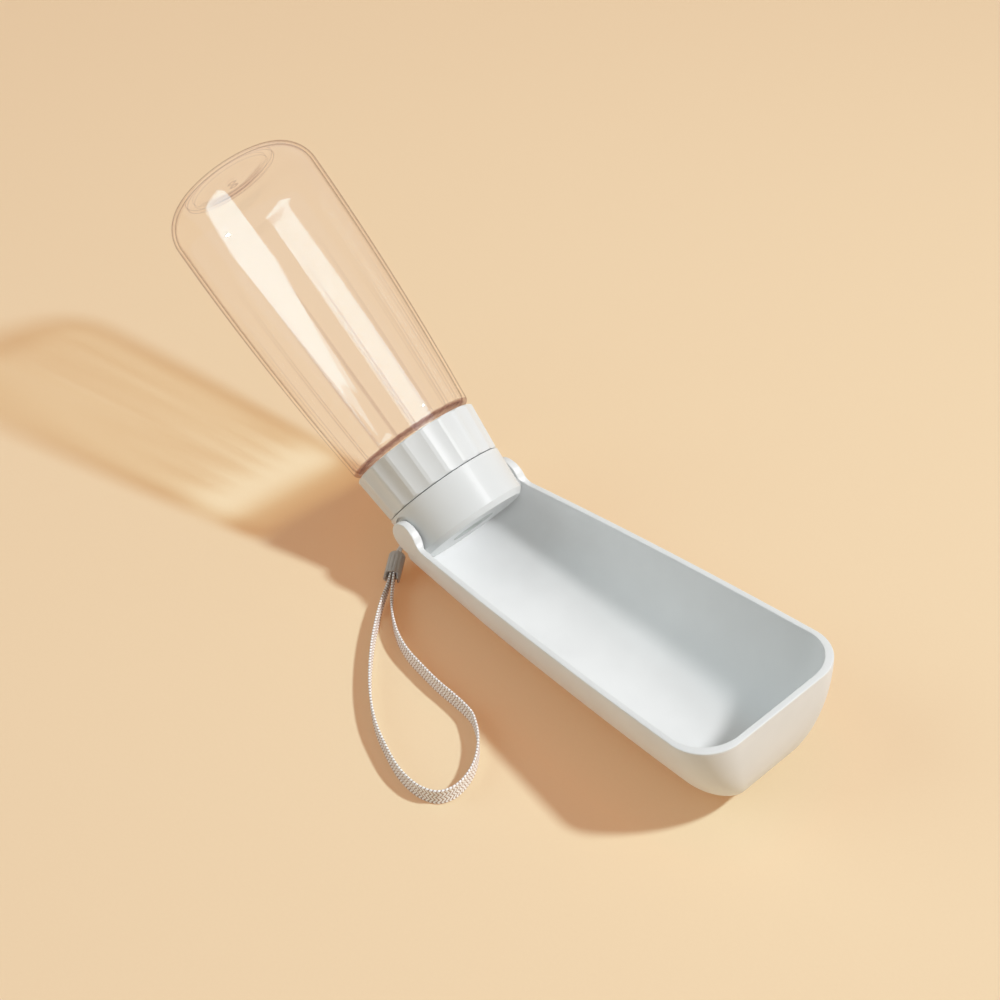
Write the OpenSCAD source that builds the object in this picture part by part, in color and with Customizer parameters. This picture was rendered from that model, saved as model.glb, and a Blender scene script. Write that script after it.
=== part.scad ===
// Travel water bottle for dogs: a clear bottle screws into a head that hinges on a fold-over trough.
// Built about the hinge axis, then set on the floor with the box centre at the origin.
// X runs along the trough towards its far end, Y along the hinge, Z up.

/* [Pose in the photograph] */
// Angle of the bottle above the floor, degrees
bottle_angle = 33.2; // [28:0.1:40]
// Angle of the trough's rim above the floor, degrees
rim_angle = 6.5; // [5:0.1:8]

/* [Head] */
// Radius of the head where its end chamfer starts
head_r_low = 29.0; // [28.4:0.1:29.4]
// Radius of the head at the parting line
head_r_top = 30.2; // [29.6:0.1:30.6]
// Distance from the hinge axis to the head's end face
head_below = 11.2; // [10:0.1:12]
// Distance from the hinge axis to the parting line
head_above = 12.3; // [11.8:0.1:13.5]
// Chamfer at the head's end
head_chamfer = 2.6; // [1.5:0.1:3]
// Wall of the head
head_wall = 2.4; // [1.8:0.1:2.8]

/* [Collar] */
// Height of the fluted collar
collar_height = 23.6; // [22:0.1:26]
// Radius of the collar at the bottle's end
collar_r_top = 32.4; // [31.6:0.1:32.8]
// Number of flutes round the collar
flute_count = 20; // [16:1:24]
// Depth of a flute
flute_depth = 0.5; // [0.3:0.05:0.7]
// Radius of the cut that makes a flute
flute_cut_r = 24; // [16:1:30]
// Gap between the collar and the head
part_gap = 0.5; // [0.3:0.05:0.8]

/* [Bottle] */
// Gap between the collar and the bottle's shoulder
shoulder_gap = 2.0; // [1.5:0.1:3]
// Radius of the bottle above its shoulder
bottle_r_low = 32.5; // [31.5:0.1:32.8]
// Radius of the bottle near its base
bottle_r_base = 39.6; // [38:0.1:39.8]
// Outward bow of the bottle's side
bottle_bow = 1.6; // [1:0.1:1.8]
// Distance from the hinge axis to the bottle's base
bottle_reach = 191.6; // [180:0.2:191.6]
// Rounding of the bottle's base edge
base_round = 15.8; // [12:0.1:16.5]
// Rounding of the bottle's shoulder
shoulder_round = 3; // [2:0.1:4]
// Wall of the bottle
bottle_wall = 1.6; // [1.4:0.1:2.2]
// Depth of the push-up in the base
push_up = 2.6; // [1.5:0.1:4]
// Outer radius of the neck where the collar holds it
neck_r = 25.6; // [25:0.1:26]
// Outer radius of the neck's spigot
spigot_r = 23.4; // [22.6:0.1:23.8]
// Wall of the neck
neck_wall = 2.0; // [1.6:0.1:2.4]

/* [Trough] */
// Length from the hinge axis to the far end
trough_len = 195.2; // [195:0.2:215]
// Half width at the hinge
half_w_hinge = 33.3; // [33.1:0.1:35]
// Half width at the far end
half_w_end = 44.8; // [44.6:0.1:48]
// Outward bow of the long sides
side_bow = 1.9; // [1.8:0.1:2.6]
// Corner radius of the far end, seen from above
corner_r = 19; // [14:0.5:22]
// Thickness of the wall and of its flat lip
lip = 2.9; // [2.4:0.1:3]
// Thickness of the floor
floor_wall = 2.2; // [1.8:0.1:3]
// Height of the rim over the hinge axis
rim_rise = 0.7; // [0.3:0.1:1.2]
// Distance from the hinge axis to the start of the far end's curve
end_curve_from = 166.8; // [150:0.2:170]
// Fullness of the cross-section, 2 is an ellipse
section_power = 2.05; // [2.0:0.05:2.4]
// Fullness of the far end's upright curve
end_power = 2.6; // [2.2:0.1:3.2]
// Extra depth that the flat foot takes off the keel
foot_cut = 1.5; // [1.0:0.1:1.8]
// Radius of the round ears
ear_r = 9.2; // [8.6:0.1:10]
// Radius of the sweep from an ear into the rim
ear_sweep = 6; // [5:0.5:8]
// Depth of the heel's lip below the hinge, as a share of the bowl
heel_share = 0.74; // [0.7:0.01:0.76]

/* [Hinge] */
// Radius of the hinge pins
pin_r = 3.0; // [2.5:0.1:3.2]
// Radial clearance of the pins in their bushes
pin_clear = 0.05; // [0.02:0.01:0.09]
// Wall of the hinge bushes
bush_wall = 1.2; // [0.9:0.1:1.5]
// Thickness of the friction washers
washer_t = 1.1; // [0.8:0.1:1.2]
// Radius of the friction washers
washer_r = 6.6; // [5.5:0.1:7]
// Depth of a hinge pin in its ear
pin_seat = 2.2; // [1.8:0.1:2.4]
// Length of a hinge pin inside its bush
pin_reach = 6.4; // [5:0.1:7]

/* [Fits] */
// Gap between the head's swing and the bowl
swing_clear = 0.4; // [0.3:0.05:0.8]
// Gap between parts that move past each other
run_gap = 0.3; // [0.2:0.05:0.4]
// Radial clearance of the parts that turn or slide on each other
turn_clear = 0.08; // [0.03:0.01:0.09]
// Gap between parts that are fixed together
fixed_gap = 0.1; // [0.05:0.05:0.2]

/* [Valve] */
// Radius of the outlet
outlet_r = 4.0; // [3:0.1:4.5]
// Radius of the valve chamber
chamber_r = 8.2; // [7.5:0.1:9]
// Radius of the plug's stem
stem_r = 2.4; // [2:0.1:2.8]
// Lift of the plug
valve_lift = 3.0; // [2:0.1:3.4]

/* [Wrist strap] */
// Diameter of the thin cord
cord_d = 1.4; // [1.2:0.1:1.6]
// Width of the tape
tape_w = 8.6; // [7:0.1:9]
// Width of the tape where it enters the sleeve
tape_w_end = 5.2; // [4.5:0.1:5.4]
// Thickness of the tape
tape_t = 1.1; // [0.9:0.1:1.3]
// Outer radius of the sleeve
sleeve_r = 4.0; // [3.8:0.1:4.2]
// Wall of the sleeve
sleeve_wall = 1.0; // [0.8:0.1:1.1]
// Number of grooves in the sleeve
sleeve_grooves = 12; // [8:1:16]
// Outer radius of the strap's lug
lug_r = 3.6; // [3.2:0.1:3.8]
// Radius of the hole in the lug
lug_hole_r = 1.8; // [1.5:0.1:2]
// Thickness of the lug
lug_t = 3.0; // [2.5:0.1:3.5]

/* [Hidden] */

$fn = 96;
eps = 0.01;

// Hinge height follows from the head's swing.
head_corner = head_below - head_chamfer;
swing_r = sqrt(head_corner * head_corner + head_r_low * head_r_low);
bowl_in = swing_r + swing_clear;
hinge_h = bowl_in + floor_wall;

// Stations along the bottle's axis, measured from the hinge axis.
collar_s0 = head_above + part_gap;
collar_s1 = collar_s0 + collar_height;
shoulder_s = collar_s1 + shoulder_gap;
side_s0 = shoulder_s + shoulder_round;
side_s1 = bottle_reach - base_round;
socket_floor = head_above - 2.6;
gasket_t = 1.4;
gasket_s = socket_floor + 2.4;
spigot_s0 = gasket_s + gasket_t;
spigot_s1 = 22.6;
barrel_top = spigot_s1 - run_gap;

// Box centre at the origin: the bottle's base reaches back, the trough's end reaches forward.
back_x = side_s1 * cos(bottle_angle) + (bottle_r_base - base_round) * sin(bottle_angle) + base_round;

// Radii of the head and the collar at a station.
function head_r(s) = head_r_low
    + (head_r_top - head_r_low) * (s + head_corner) / (head_above + head_corner);
function collar_r(s) = head_r_top
    + (collar_r_top - head_r_top) * (s - collar_s0) / collar_height;
function bottle_r(s) = let (t = (s - side_s0) / (side_s1 - side_s0))
    bottle_r_low + (bottle_r_base - bottle_r_low) * t + bottle_bow * 4 * t * (1 - t);

ear_in = half_w_hinge - lip + 0.2;
ear_out = ear_in + lip + 0.1;
seat_y = ear_in - run_gap - washer_t;
boss_r = pin_r + pin_clear + bush_wall + 2.2;
boss_y = seat_y - 8.4;
ear_pocket_r = ear_r + 1.5;
bush_r = pin_r + pin_clear + bush_wall;

function arc(c, r, a0, a1, n) = [for (k = [0:n]) let (a = a0 + (a1 - a0) * k / n)
    [c[0] + r * cos(a), c[1] + r * sin(a)]];

module place() translate([hinge_x, 0, hinge_h]) children();
module on_axis() place() rotate([0, bottle_angle - 90, 0]) children();
module along_y(r, y0, y1) translate([0, y0, 0]) rotate([-90, 0, 0]) cylinder(r = r, h = y1 - y0);
module each_side(side) mirror([0, side > 0 ? 0 : 1, 0]) children();
module ring(r_out, r_in, s0, s1) rotate_extrude()
    polygon([[r_in, s0], [r_out, s0], [r_out, s1], [r_in, s1]]);

// Trough: rings of points run round the rim and shrink to a keel line.
back_steps = 13;
side_steps = 26;
corner_steps = 8;
end_steps = 4;
half_count = back_steps + side_steps + corner_steps + end_steps;
loop_count = 2 * half_count;
wall_rows = 12;
side_end_x = trough_len - corner_r;

function half_w(x) = let (t = x / trough_len)
    half_w_hinge + (half_w_end - half_w_hinge) * t + side_bow * 4 * t * (1 - t);
function rim_z(x) = rim_rise + max(x, 0) * tan(rim_angle);
corner_y = half_w(side_end_x) - corner_r;

// Stations lie closer together near the ear, on the bowl and along the side.
function back_angle(i) = 90 * pow(1 - i / back_steps, 1.7);
function side_x(k) = let (t = k / side_steps) side_end_x * pow(t, 1.6);
end_from = min(end_curve_from, side_end_x);

function plan_near(i) =
    i < back_steps ? let (a = back_angle(i)) [-sin(a) * hinge_h, -cos(a) * half_w(0)]
    : i < back_steps + side_steps ? let (x = side_x(i - back_steps)) [x, -half_w(x)]
    : i < back_steps + side_steps + corner_steps
        ? let (a = 90 * (i - back_steps - side_steps) / corner_steps)
            [side_end_x + corner_r * sin(a), -(corner_y + corner_r * cos(a))]
    : let (t = (i - back_steps - side_steps - corner_steps) / end_steps)
        [trough_len, -corner_y * (1 - t)];
function plan(i) = i <= half_count ? plan_near(i) : let (p = plan_near(loop_count - i)) [p[0], -p[1]];

// Share of the depth at which the wall starts: zero on the rim, low behind the ears.
function start_share(i) = let (k = min(i, loop_count - i))
    k < back_steps ? let (a = back_angle(k)) heel_share - (heel_share - 0.2) * exp(-a / 6)
    : let (x = plan(i)[0]) max(0, 0.2 * (1 - x / (0.6 * ear_r)));
function sweep_z(x) = let (from = ear_r + ear_sweep * 0.92)
    x < 0.6 * ear_r || x > from ? 0
    : ear_sweep - sqrt(ear_sweep * ear_sweep - pow(min(from - x, ear_sweep * 0.92), 2));

// The end wall stands square to the sloping rim, so deeper points move outwards.
function leaned(x, y, z) =
    [x + tan(rim_angle) * (rim_z(x) - z) * min(1, max(x, 0) / end_from), y, z];

// One point of a skin: inset is zero outside and the lip's width inside.
function skin_point(i, angle, inset, low, cut) =
    let (
        p = plan(i),
        q = pow(sin(angle), 2 / section_power),
        s = pow(max(cos(angle), 0), 2 / section_power),
        e = pow(max(1 - pow(q, end_power), 0), 1 / end_power),
        top = rim_z(p[0]),
        y_scale = (abs(p[1]) < eps) ? 0 : (abs(p[1]) - inset * min(1, abs(p[1]) / corner_y)) / abs(p[1]),
        x_in = p[0] < 0 ? p[0] * (hinge_h - inset + lip - floor_wall - (inset > 0 ? 0 : lip - floor_wall)) / hinge_h
            : p[0] > end_from ? end_from + (p[0] - end_from) * (trough_len - inset - end_from) / (trough_len - end_from)
            : p[0],
        x = x_in < 0 ? x_in * s : x_in > end_from ? end_from + (x_in - end_from) * e : x_in
    )
    leaned(x, p[1] * y_scale * s, max(top - (top + low + cut) * q, -hinge_h));

function share_angle(q) = asin(pow(min(q, 1), section_power / 2));
function outer_start(i) = share_angle(start_share(i));
function rim_point_z(i) = let (top = rim_z(plan(i)[0]), x = plan(i)[0])
    top - (top + hinge_h + foot_cut) * start_share(i) + sweep_z(x);
function inner_start(i) = let (top = rim_z(plan(i)[0]))
    share_angle(max(top - min(rim_point_z(i), top), 0) / (top + bowl_in));
function lifted(p, dz) = [p[0], p[1], p[2] + dz];

outer_rows = [for (j = [0:wall_rows - 1]) for (i = [0:loop_count - 1])
    let (a = outer_start(i), angle = a + (90 - a) * j / wall_rows)
        lifted(skin_point(i, angle, 0, hinge_h, foot_cut), j == 0 ? sweep_z(plan(i)[0]) : 0)];
inner_rows = [for (j = [0:wall_rows - 1]) for (i = [0:loop_count - 1])
    let (a = inner_start(i), angle = a + (90 - a) * j / wall_rows)
        lifted(skin_point(i, angle, lip, bowl_in, 0), j == 0 ? sweep_z(plan(i)[0]) : 0)];

// Keel lines: the ends of the bowl and of the far curve share one point each.
keel_first = back_steps;
keel_last = max([for (i = [back_steps:half_count]) if (plan_near(i)[0] <= end_from) i]) + 1;
keel_count = keel_last - keel_first + 1;
function keel_x(k) = min(plan_near(keel_first + k)[0], end_from);
outer_keel = [for (k = [0:keel_count - 1]) leaned(keel_x(k), 0, -hinge_h)];
inner_keel = [for (k = [0:keel_count - 1]) leaned(keel_x(k), 0, -bowl_in)];
front_x = max([for (p = outer_rows) p[0]]);
hinge_x = (back_x - front_x) / 2;
row_size = loop_count;
inner_base = wall_rows * row_size;
outer_keel_base = 2 * wall_rows * row_size;
inner_keel_base = outer_keel_base + keel_count;
function keel_index(i) = let (k = min(i, loop_count - i)) min(max(k - keel_first, 0), keel_count - 1);

// Two triangles between four corners, without those that fold to a line.
function quad(a, b, c, d) = [for (t = [[a, b, c], [a, c, d]]) if (t[0] != t[1] && t[1] != t[2] && t[0] != t[2]) t];
outer_faces = [for (j = [0:wall_rows - 2]) for (i = [0:row_size - 1])
    let (n = (i + 1) % row_size, a = j * row_size)
        each quad(a + i, a + n, a + row_size + n, a + row_size + i)];
inner_faces = [for (j = [0:wall_rows - 2]) for (i = [0:row_size - 1])
    let (n = (i + 1) % row_size, a = inner_base + j * row_size)
        each quad(a + n, a + i, a + row_size + i, a + row_size + n)];
lip_faces = [for (i = [0:row_size - 1]) let (n = (i + 1) % row_size)
    each quad(n, i, inner_base + i, inner_base + n)];
last_row = (wall_rows - 1) * row_size;
outer_keel_faces = [for (i = [0:row_size - 1]) let (n = (i + 1) % row_size)
    each quad(last_row + i, last_row + n, outer_keel_base + keel_index(n), outer_keel_base + keel_index(i))];
inner_keel_faces = [for (i = [0:row_size - 1]) let (n = (i + 1) % row_size)
    each quad(inner_base + last_row + n, inner_base + last_row + i,
        inner_keel_base + keel_index(i), inner_keel_base + keel_index(n))];

module trough_body() polyhedron(
    points = concat(outer_rows, inner_rows, outer_keel, inner_keel),
    faces = concat(outer_faces, inner_faces, lip_faces, outer_keel_faces, inner_keel_faces),
    convexity = 8);

// The strap's lug stands out of the heel behind the hinge.
lug_angle = 52;
lug_at = hinge_h + 2.4;
lug_pos = [-lug_at * cos(lug_angle), 0, -lug_at * sin(lug_angle)];

module trough_shell() color("lightsteelblue") place() difference() {
    union() {
        trough_body();
        for (side = [-1, 1]) each_side(side) along_y(ear_r, ear_in, ear_out);
        translate(lug_pos) along_y(lug_r, -lug_t / 2, lug_t / 2);
    }
    for (side = [-1, 1]) each_side(side) {
        along_y(pin_r, ear_in - 1, ear_in + pin_seat);
        along_y(washer_r + run_gap, ear_in - 4, ear_in);
    }
    translate(lug_pos) along_y(lug_hole_r, -lug_t, lug_t);
}

module hinge_pin(side) place() each_side(side)
    along_y(pin_r, seat_y - pin_reach, ear_in + pin_seat);
module hinge_pin_near() color("silver") hinge_pin(-1);
module hinge_pin_far() color("silver") hinge_pin(1);

// Head: a shell with a boss for each bush and a flat seat round each ear.
module head_shell() color("gainsboro") on_axis() difference() {
    union() {
        difference() {
            rotate_extrude() polygon([
                [0, -head_below], [head_r_low - head_chamfer * 0.9, -head_below],
                [head_r_low, -head_corner], [head_r_top, head_above], [0, head_above]]);
            translate([0, 0, -head_below + head_wall]) cylinder(r1 = head_r_low - head_wall - 1.2,
                r2 = head_r_top - head_wall, h = head_above + head_below);
        }
        for (side = [-1, 1]) each_side(side) intersection() {
            along_y(boss_r, boss_y, head_r(0));
            cylinder(r = head_r_low - head_wall / 2, h = 60, center = true);
        }
        at_screws() cylinder_between(2.8, plate_s1 - 0.5, socket_floor - 0.1);
    }
    at_screws() cylinder_between(1.3, 0, socket_floor);
    translate([0, 0, -head_below - 1]) cylinder(r = chamber_r + 3, h = head_wall + 2);
    for (side = [-1, 1]) each_side(side) {
        along_y(bush_r, boss_y - 1, head_r_top + 2);
        along_y(ear_pocket_r, seat_y, head_r_top + 2);
    }
}

module cylinder_between(r, s0, s1) translate([0, 0, s0]) cylinder(r = r, h = s1 - s0);
module at_screws() for (k = [0:2]) rotate([0, 0, 60 + 120 * k]) translate([screw_pcd_r, 0, 0]) children();

module hinge_bush(side) on_axis() each_side(side) difference() {
    along_y(bush_r, boss_y, seat_y);
    along_y(pin_r + pin_clear, boss_y - 1, seat_y + 1);
}
module hinge_bush_near() color("ivory") hinge_bush(-1);
module hinge_bush_far() color("ivory") hinge_bush(1);

module hinge_washer(side) on_axis() each_side(side) difference() {
    along_y(washer_r, seat_y, seat_y + washer_t);
    along_y(pin_r + pin_clear, seat_y - 1, seat_y + washer_t + 1);
}
module hinge_washer_near() color("dimgray") hinge_washer(-1);
module hinge_washer_far() color("dimgray") hinge_washer(1);

// Outlet and valve, from the end face inwards.
plate_s1 = -head_below + head_wall;
seat_s = plate_s1 + 1.6;
chamber_top = 6.6;
guide_t = 1.6;
disc_r = chamber_r - 1.6;
disc_t = 2.0;
seal_t = 1.2;
disc_s = seat_s + 0.05 + seal_t;
chamber_flange = chamber_r + 5.4;

module outlet_plate() color("whitesmoke") on_axis() difference() {
    union() {
        translate([0, 0, -head_below]) cylinder(r = chamber_r + 3 - fixed_gap, h = head_wall);
        translate([0, 0, plate_s1]) cylinder(r = chamber_r - fixed_gap, h = seat_s - plate_s1);
    }
    translate([0, 0, -head_below - 1]) cylinder(r = outlet_r, h = 12);
    translate([0, 0, -head_below - 1]) cylinder(r1 = outlet_r + 3, r2 = outlet_r, h = 2.6);
}

module valve_chamber() color("lightblue") on_axis() difference() {
    union() {
        ring(chamber_r + 2, chamber_r, plate_s1, socket_floor - fixed_gap);
        ring(chamber_flange, chamber_r, socket_floor - 2.2, socket_floor - fixed_gap);
        ring(chamber_flange, chamber_r, plate_s1, plate_s1 + 1.6);
    }
    for (k = [0:5]) rotate([0, 0, 60 * k]) translate([chamber_r + 3.7, 0, plate_s1 - 1])
        cylinder(r = 0.9, h = 4);
}

module stem_guide() color("lightblue") on_axis() translate([0, 0, chamber_top]) {
    difference() {
        cylinder(r = chamber_r - fixed_gap, h = guide_t);
        translate([0, 0, -1]) cylinder(r = chamber_r - 1.4, h = guide_t + 2);
    }
    difference() {
        union() {
            cylinder(r = stem_r + 1.6, h = guide_t);
            for (k = [0:2]) rotate([0, 0, 120 * k]) translate([0, -0.8, 0])
                cube([chamber_r - 0.8, 1.6, guide_t]);
        }
        translate([0, 0, -1]) cylinder(r = stem_r + turn_clear, h = guide_t + 2);
    }
}

module valve_plug() color("salmon") on_axis() {
    rotate_extrude() polygon([
        [0, seat_s + 0.2], [outlet_r - 0.6, seat_s + 0.2], [outlet_r - 0.4, seat_s + 0.4],
        [outlet_r - 0.4, disc_s], [disc_r, disc_s], [disc_r, disc_s + disc_t],
        [stem_r, disc_s + disc_t + 2], [stem_r, chamber_top + guide_t + 2], [0, chamber_top + guide_t + 2.4]]);
}

module valve_seal() color("dimgray") on_axis()
    ring(disc_r - 0.2, outlet_r - 0.4, disc_s - seal_t, disc_s);

// Socket: a cup that the bottle's spigot enters and the collar turns on.
socket_r = head_r(socket_floor) - head_wall - fixed_gap - 0.4;
barrel_in = spigot_r + run_gap;
barrel_out = barrel_in + 2.4;
groove_s = collar_s0 + 4;
screw_pcd_r = 19;
module neck_socket() color("lightgray") on_axis() difference() {
    union() {
        cylinder_between(socket_r, socket_floor, head_above);
        cylinder_between(barrel_out, head_above, barrel_top);
    }
    cylinder_between(barrel_in, gasket_s, barrel_top + 1);
    cylinder_between(chamber_r + fixed_gap, socket_floor - 2, head_above);
    ring(barrel_out + 1, barrel_out - 0.8, groove_s, groove_s + 2);
    at_screws() {
        cylinder_between(1.3, socket_floor - 1, gasket_s + 1);
        cylinder_between(2.5, gasket_s - 1.3, gasket_s + 1);
    }
    ring(socket_r + 1, socket_r - 1.5, socket_floor + 0.5, socket_floor + 2.1);
}

module socket_screws() color("silver") on_axis() at_screws() {
    cylinder_between(1.2, 1, gasket_s - 1.2);
    cylinder_between(2.4, gasket_s - 1.2, gasket_s - 0.1);
}

module socket_oring() color("dimgray") on_axis() translate([0, 0, socket_floor + 1.3])
    rotate_extrude() translate([socket_r - 0.6, 0]) circle(r = 0.75, $fn = 32);

module neck_gasket() color("silver") on_axis()
    ring(spigot_r - 0.1, spigot_r - neck_wall - 1, gasket_s, spigot_s0 - 0.1);

module retaining_ring() color("whitesmoke") on_axis()
    ring(barrel_out + 0.5, barrel_out - 0.7, groove_s + 0.2, groove_s + 1.8);

// Collar: a fluted nut with a groove for the retaining ring.
collar_bore = barrel_out + turn_clear;
liner_r = neck_r + turn_clear + 2;
liner_s0 = collar_s0 + 9.8;
module collar() color("gainsboro") on_axis() difference() {
    rotate_extrude() polygon([
        [collar_bore, collar_s0], [head_r_top - 0.6, collar_s0], [head_r_top, collar_s0 + 0.6],
        [collar_r_top, collar_s1 - 0.6], [collar_r_top - 0.6, collar_s1],
        [liner_r, collar_s1], [liner_r, liner_s0], [collar_bore, liner_s0]]);
    ring(barrel_out + 0.8, 10, groove_s, groove_s + 2);
    for (k = [0:flute_count - 1]) rotate([0, 0, 360 / flute_count * (k + 0.5)])
        translate([collar_r((collar_s0 + collar_s1) / 2) + flute_cut_r - flute_depth, 0, (collar_s0 + collar_s1) / 2])
        rotate([0, atan((collar_r_top - head_r_top) / collar_height), 0])
        cylinder(r = flute_cut_r, h = collar_height + 12, center = true);
}

// Liner: carries the collar's thread, pressed into the collar.
module collar_liner() color("lightgray") on_axis() difference() {
    ring(liner_r, neck_r + turn_clear, liner_s0, collar_s1 - 0.6);
    for (k = [0:3]) rotate([0, 0, 45 + 90 * k]) translate([liner_r, 0, liner_s0 - 1])
        cylinder(r = 0.7, h = collar_height);
}

// Bottle: one revolved wall with a neck, a bowed side and a push-up base.
side_steps_b = 12;
arc_steps = 8;
function bottle_side(inset) = [for (k = [0:side_steps_b]) let (s = side_s0 + (side_s1 - side_s0) * k / side_steps_b)
    [bottle_r(s) - inset, s]];
dome_r = bottle_r_base - base_round - 1.6;
module bottle() color("lightcyan", 0.4) on_axis() rotate_extrude($fn = 128) polygon(concat(
    [[spigot_r, spigot_s0], [spigot_r, spigot_s1], [neck_r, spigot_s1], [neck_r, shoulder_s]],
    arc([bottle_r_low - shoulder_round, side_s0], shoulder_round, -90, -15, 4),
    bottle_side(0),
    arc([bottle_r_base - base_round, side_s1], base_round, 12, 90, arc_steps),
    [[dome_r, bottle_reach - push_up], [0, bottle_reach - push_up]],
    [[0, bottle_reach - push_up - bottle_wall], [dome_r - bottle_wall * 0.6, bottle_reach - push_up - bottle_wall],
        [bottle_r_base - base_round, bottle_reach - bottle_wall]],
    arc([bottle_r_base - base_round, side_s1], base_round - bottle_wall, 78, 12, arc_steps - 1),
    [for (k = [side_steps_b:-1:0]) bottle_side(bottle_wall)[k]],
    [[bottle_r_low - shoulder_round - 1, shoulder_s + bottle_wall + 0.4],
        [spigot_r - neck_wall, shoulder_s + 0.6], [spigot_r - neck_wall, spigot_s0]]));

// Wrist strap: route points are chosen by hand, measured from the hinge axis.
sleeve_top = [-16.5, -25.5, -25];
sleeve_end = [-7.5, -37.5, -28];
cord_route = [
    [-20.5, -18, -25.5], [-22.5, -10, -27.4], [-22.5, -4, -28.2], [-22.1, 0, -28.3],
    [-22.5, 3.2, -28.6], [-24.6, 4.2, -29.6], [-27, 2.6, -30.6], [-28, 0, -31], [-27.6, -3.5, -30.8],
    [-25.6, -10, -29.6], [-22, -18, -27.6]];
tape_z = tape_w / 2 + 0.2 - hinge_h;
tape_route = [
    [-4.5, -42.5, tape_z + 0.4], [3, -53, tape_z], [16.5, -68.5, tape_z], [29.5, -81, tape_z], [42, -91, tape_z],
    [55, -99, tape_z], [67, -104, tape_z], [80, -108, tape_z], [89.5, -109, tape_z], [97, -108, tape_z],
    [103, -104.5, tape_z], [105.5, -98, tape_z], [104.5, -90, tape_z], [100.5, -81.5, tape_z], [93, -73, tape_z],
    [84, -67, tape_z], [77.5, -65, tape_z], [67.5, -64.5, tape_z], [57, -64.5, tape_z], [44.5, -63.5, tape_z],
    [33, -62, tape_z], [21, -58, tape_z], [8.5, -50.5, tape_z], [-2, -41.5, tape_z + 0.4]];

function unit(v) = v / norm(v);
sleeve_dir = unit(sleeve_end - sleeve_top);
sleeve_side = unit(cross([0, 0, 1], sleeve_dir));
sleeve_up = cross(sleeve_dir, sleeve_side);
sleeve_len = norm(sleeve_end - sleeve_top);
crimp_t0 = 5;
cord_hole_r = 1.7;
crimp_t1 = sleeve_len - 4.5;
function in_sleeve(t, side, up) = sleeve_top + sleeve_dir * t + sleeve_side * side + sleeve_up * up;

// A smooth run through the points, then a tube of eight sides round it.
function curve(p, n) = [for (k = [0:len(p) - 2]) for (j = [0:n - 1])
    let (a = p[max(k - 1, 0)], b = p[k], c = p[k + 1], d = p[min(k + 2, len(p) - 1)], t = j / n)
        0.5 * (2 * b + (c - a) * t + (2 * a - 5 * b + 4 * c - d) * t * t + (3 * b - a - 3 * c + d) * t * t * t),
    p[len(p) - 1]];
function tangent(c, k) = unit(c[min(k + 1, len(c) - 1)] - c[max(k - 1, 0)]);
function tube_ring(c, k, half_h, half_t) =
    let (t = tangent(c, k), u = unit([0, 0, 1] - t * t[2]), v = cross(t, u))
        [for (m = [0:7]) let (a = 22.5 + 45 * m) c[k] + (u * half_h * sin(a) + v * half_t * cos(a)) / cos(22.5)];
module tube(c, heights, half_t) {
    rings = len(c);
    points = [for (k = [0:rings - 1]) each tube_ring(c, k, heights[k], half_t)];
    sides = [for (k = [0:rings - 2]) for (m = [0:7]) let (n = (m + 1) % 8)
        each [[8 * k + m, 8 * k + n, 8 * k + 8 + n], [8 * k + m, 8 * k + 8 + n, 8 * k + 8 + m]]];
    caps = concat([for (m = [1:6]) [0, m + 1, m]],
        [for (m = [1:6]) [8 * (rings - 1), 8 * (rings - 1) + m, 8 * (rings - 1) + m + 1]]);
    polyhedron(points = points, faces = concat(sides, caps), convexity = 6);
}

cord_curve = curve(concat([in_sleeve(crimp_t0, 0.8, 0), in_sleeve(0, 0.8, 0)], cord_route,
    [in_sleeve(0, -0.8, 0), in_sleeve(crimp_t0, -0.8, 0)]), 3);
tape_curve = curve(concat([in_sleeve(crimp_t1, -tape_t * 0.6, 0)], tape_route,
    [in_sleeve(crimp_t1, tape_t * 0.6, 0)]), 2);
tape_last = len(tape_curve) - 1;
function tape_half(k) = let (d = min(k, tape_last - k))
    (tape_w_end + (tape_w - tape_w_end) * min(1, max(0, d - 1) / 4)) / 2;

module strap_cord() color("white") place() tube(cord_curve, [for (k = cord_curve) cord_d / 2], cord_d / 2);
module strap_tape() color("white") place()
    tube(tape_curve, [for (k = [0:tape_last]) tape_half(k)], tape_t / 2);

module in_sleeve_frame() place() translate(sleeve_top)
    multmatrix([for (r = [0:2]) [sleeve_side[r], sleeve_up[r], sleeve_dir[r], 0]]) children();

module strap_sleeve() color("slategray") in_sleeve_frame() difference() {
    rotate_extrude() polygon(concat(
        [[cord_hole_r, 0.2], [1.9, 0.2]],
        arc([1.9, 2.3], 2.1, -75, 0, 5),
        [[sleeve_r, sleeve_len], [sleeve_r - sleeve_wall, sleeve_len],
            [sleeve_r - sleeve_wall, crimp_t0 - 1], [cord_hole_r, crimp_t0 - 1]]));
    for (k = [0:sleeve_grooves - 1]) rotate([0, 0, 360 / sleeve_grooves * k])
        translate([sleeve_r + 0.3, 0, 3]) cylinder(r = 0.6, h = sleeve_len, $fn = 24);
}

module strap_crimp() color("silver") in_sleeve_frame()
    translate([0, 0, crimp_t0]) cylinder(r = sleeve_r - sleeve_wall - fixed_gap, h = crimp_t1 - crimp_t0);

trough_shell();
hinge_pin_near();
hinge_pin_far();
head_shell();
hinge_bush_near();
hinge_bush_far();
hinge_washer_near();
hinge_washer_far();
outlet_plate();
valve_chamber();
stem_guide();
neck_socket();
socket_screws();
socket_oring();
neck_gasket();
retaining_ring();
valve_plug();
valve_seal();
collar();
collar_liner();
bottle();
strap_cord();
strap_sleeve();
strap_crimp();
strap_tape();
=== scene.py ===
# %% [markdown]
# # A travel water bottle for dogs
# A clear bottle screws into a fluted collar, the collar turns on a smooth head, and the head hinges on
# a long trough that the dog drinks from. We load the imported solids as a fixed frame, then dress each
# visible piece: moulded shells as fine meshes, the strap as woven tape, and one material per finish.

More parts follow.
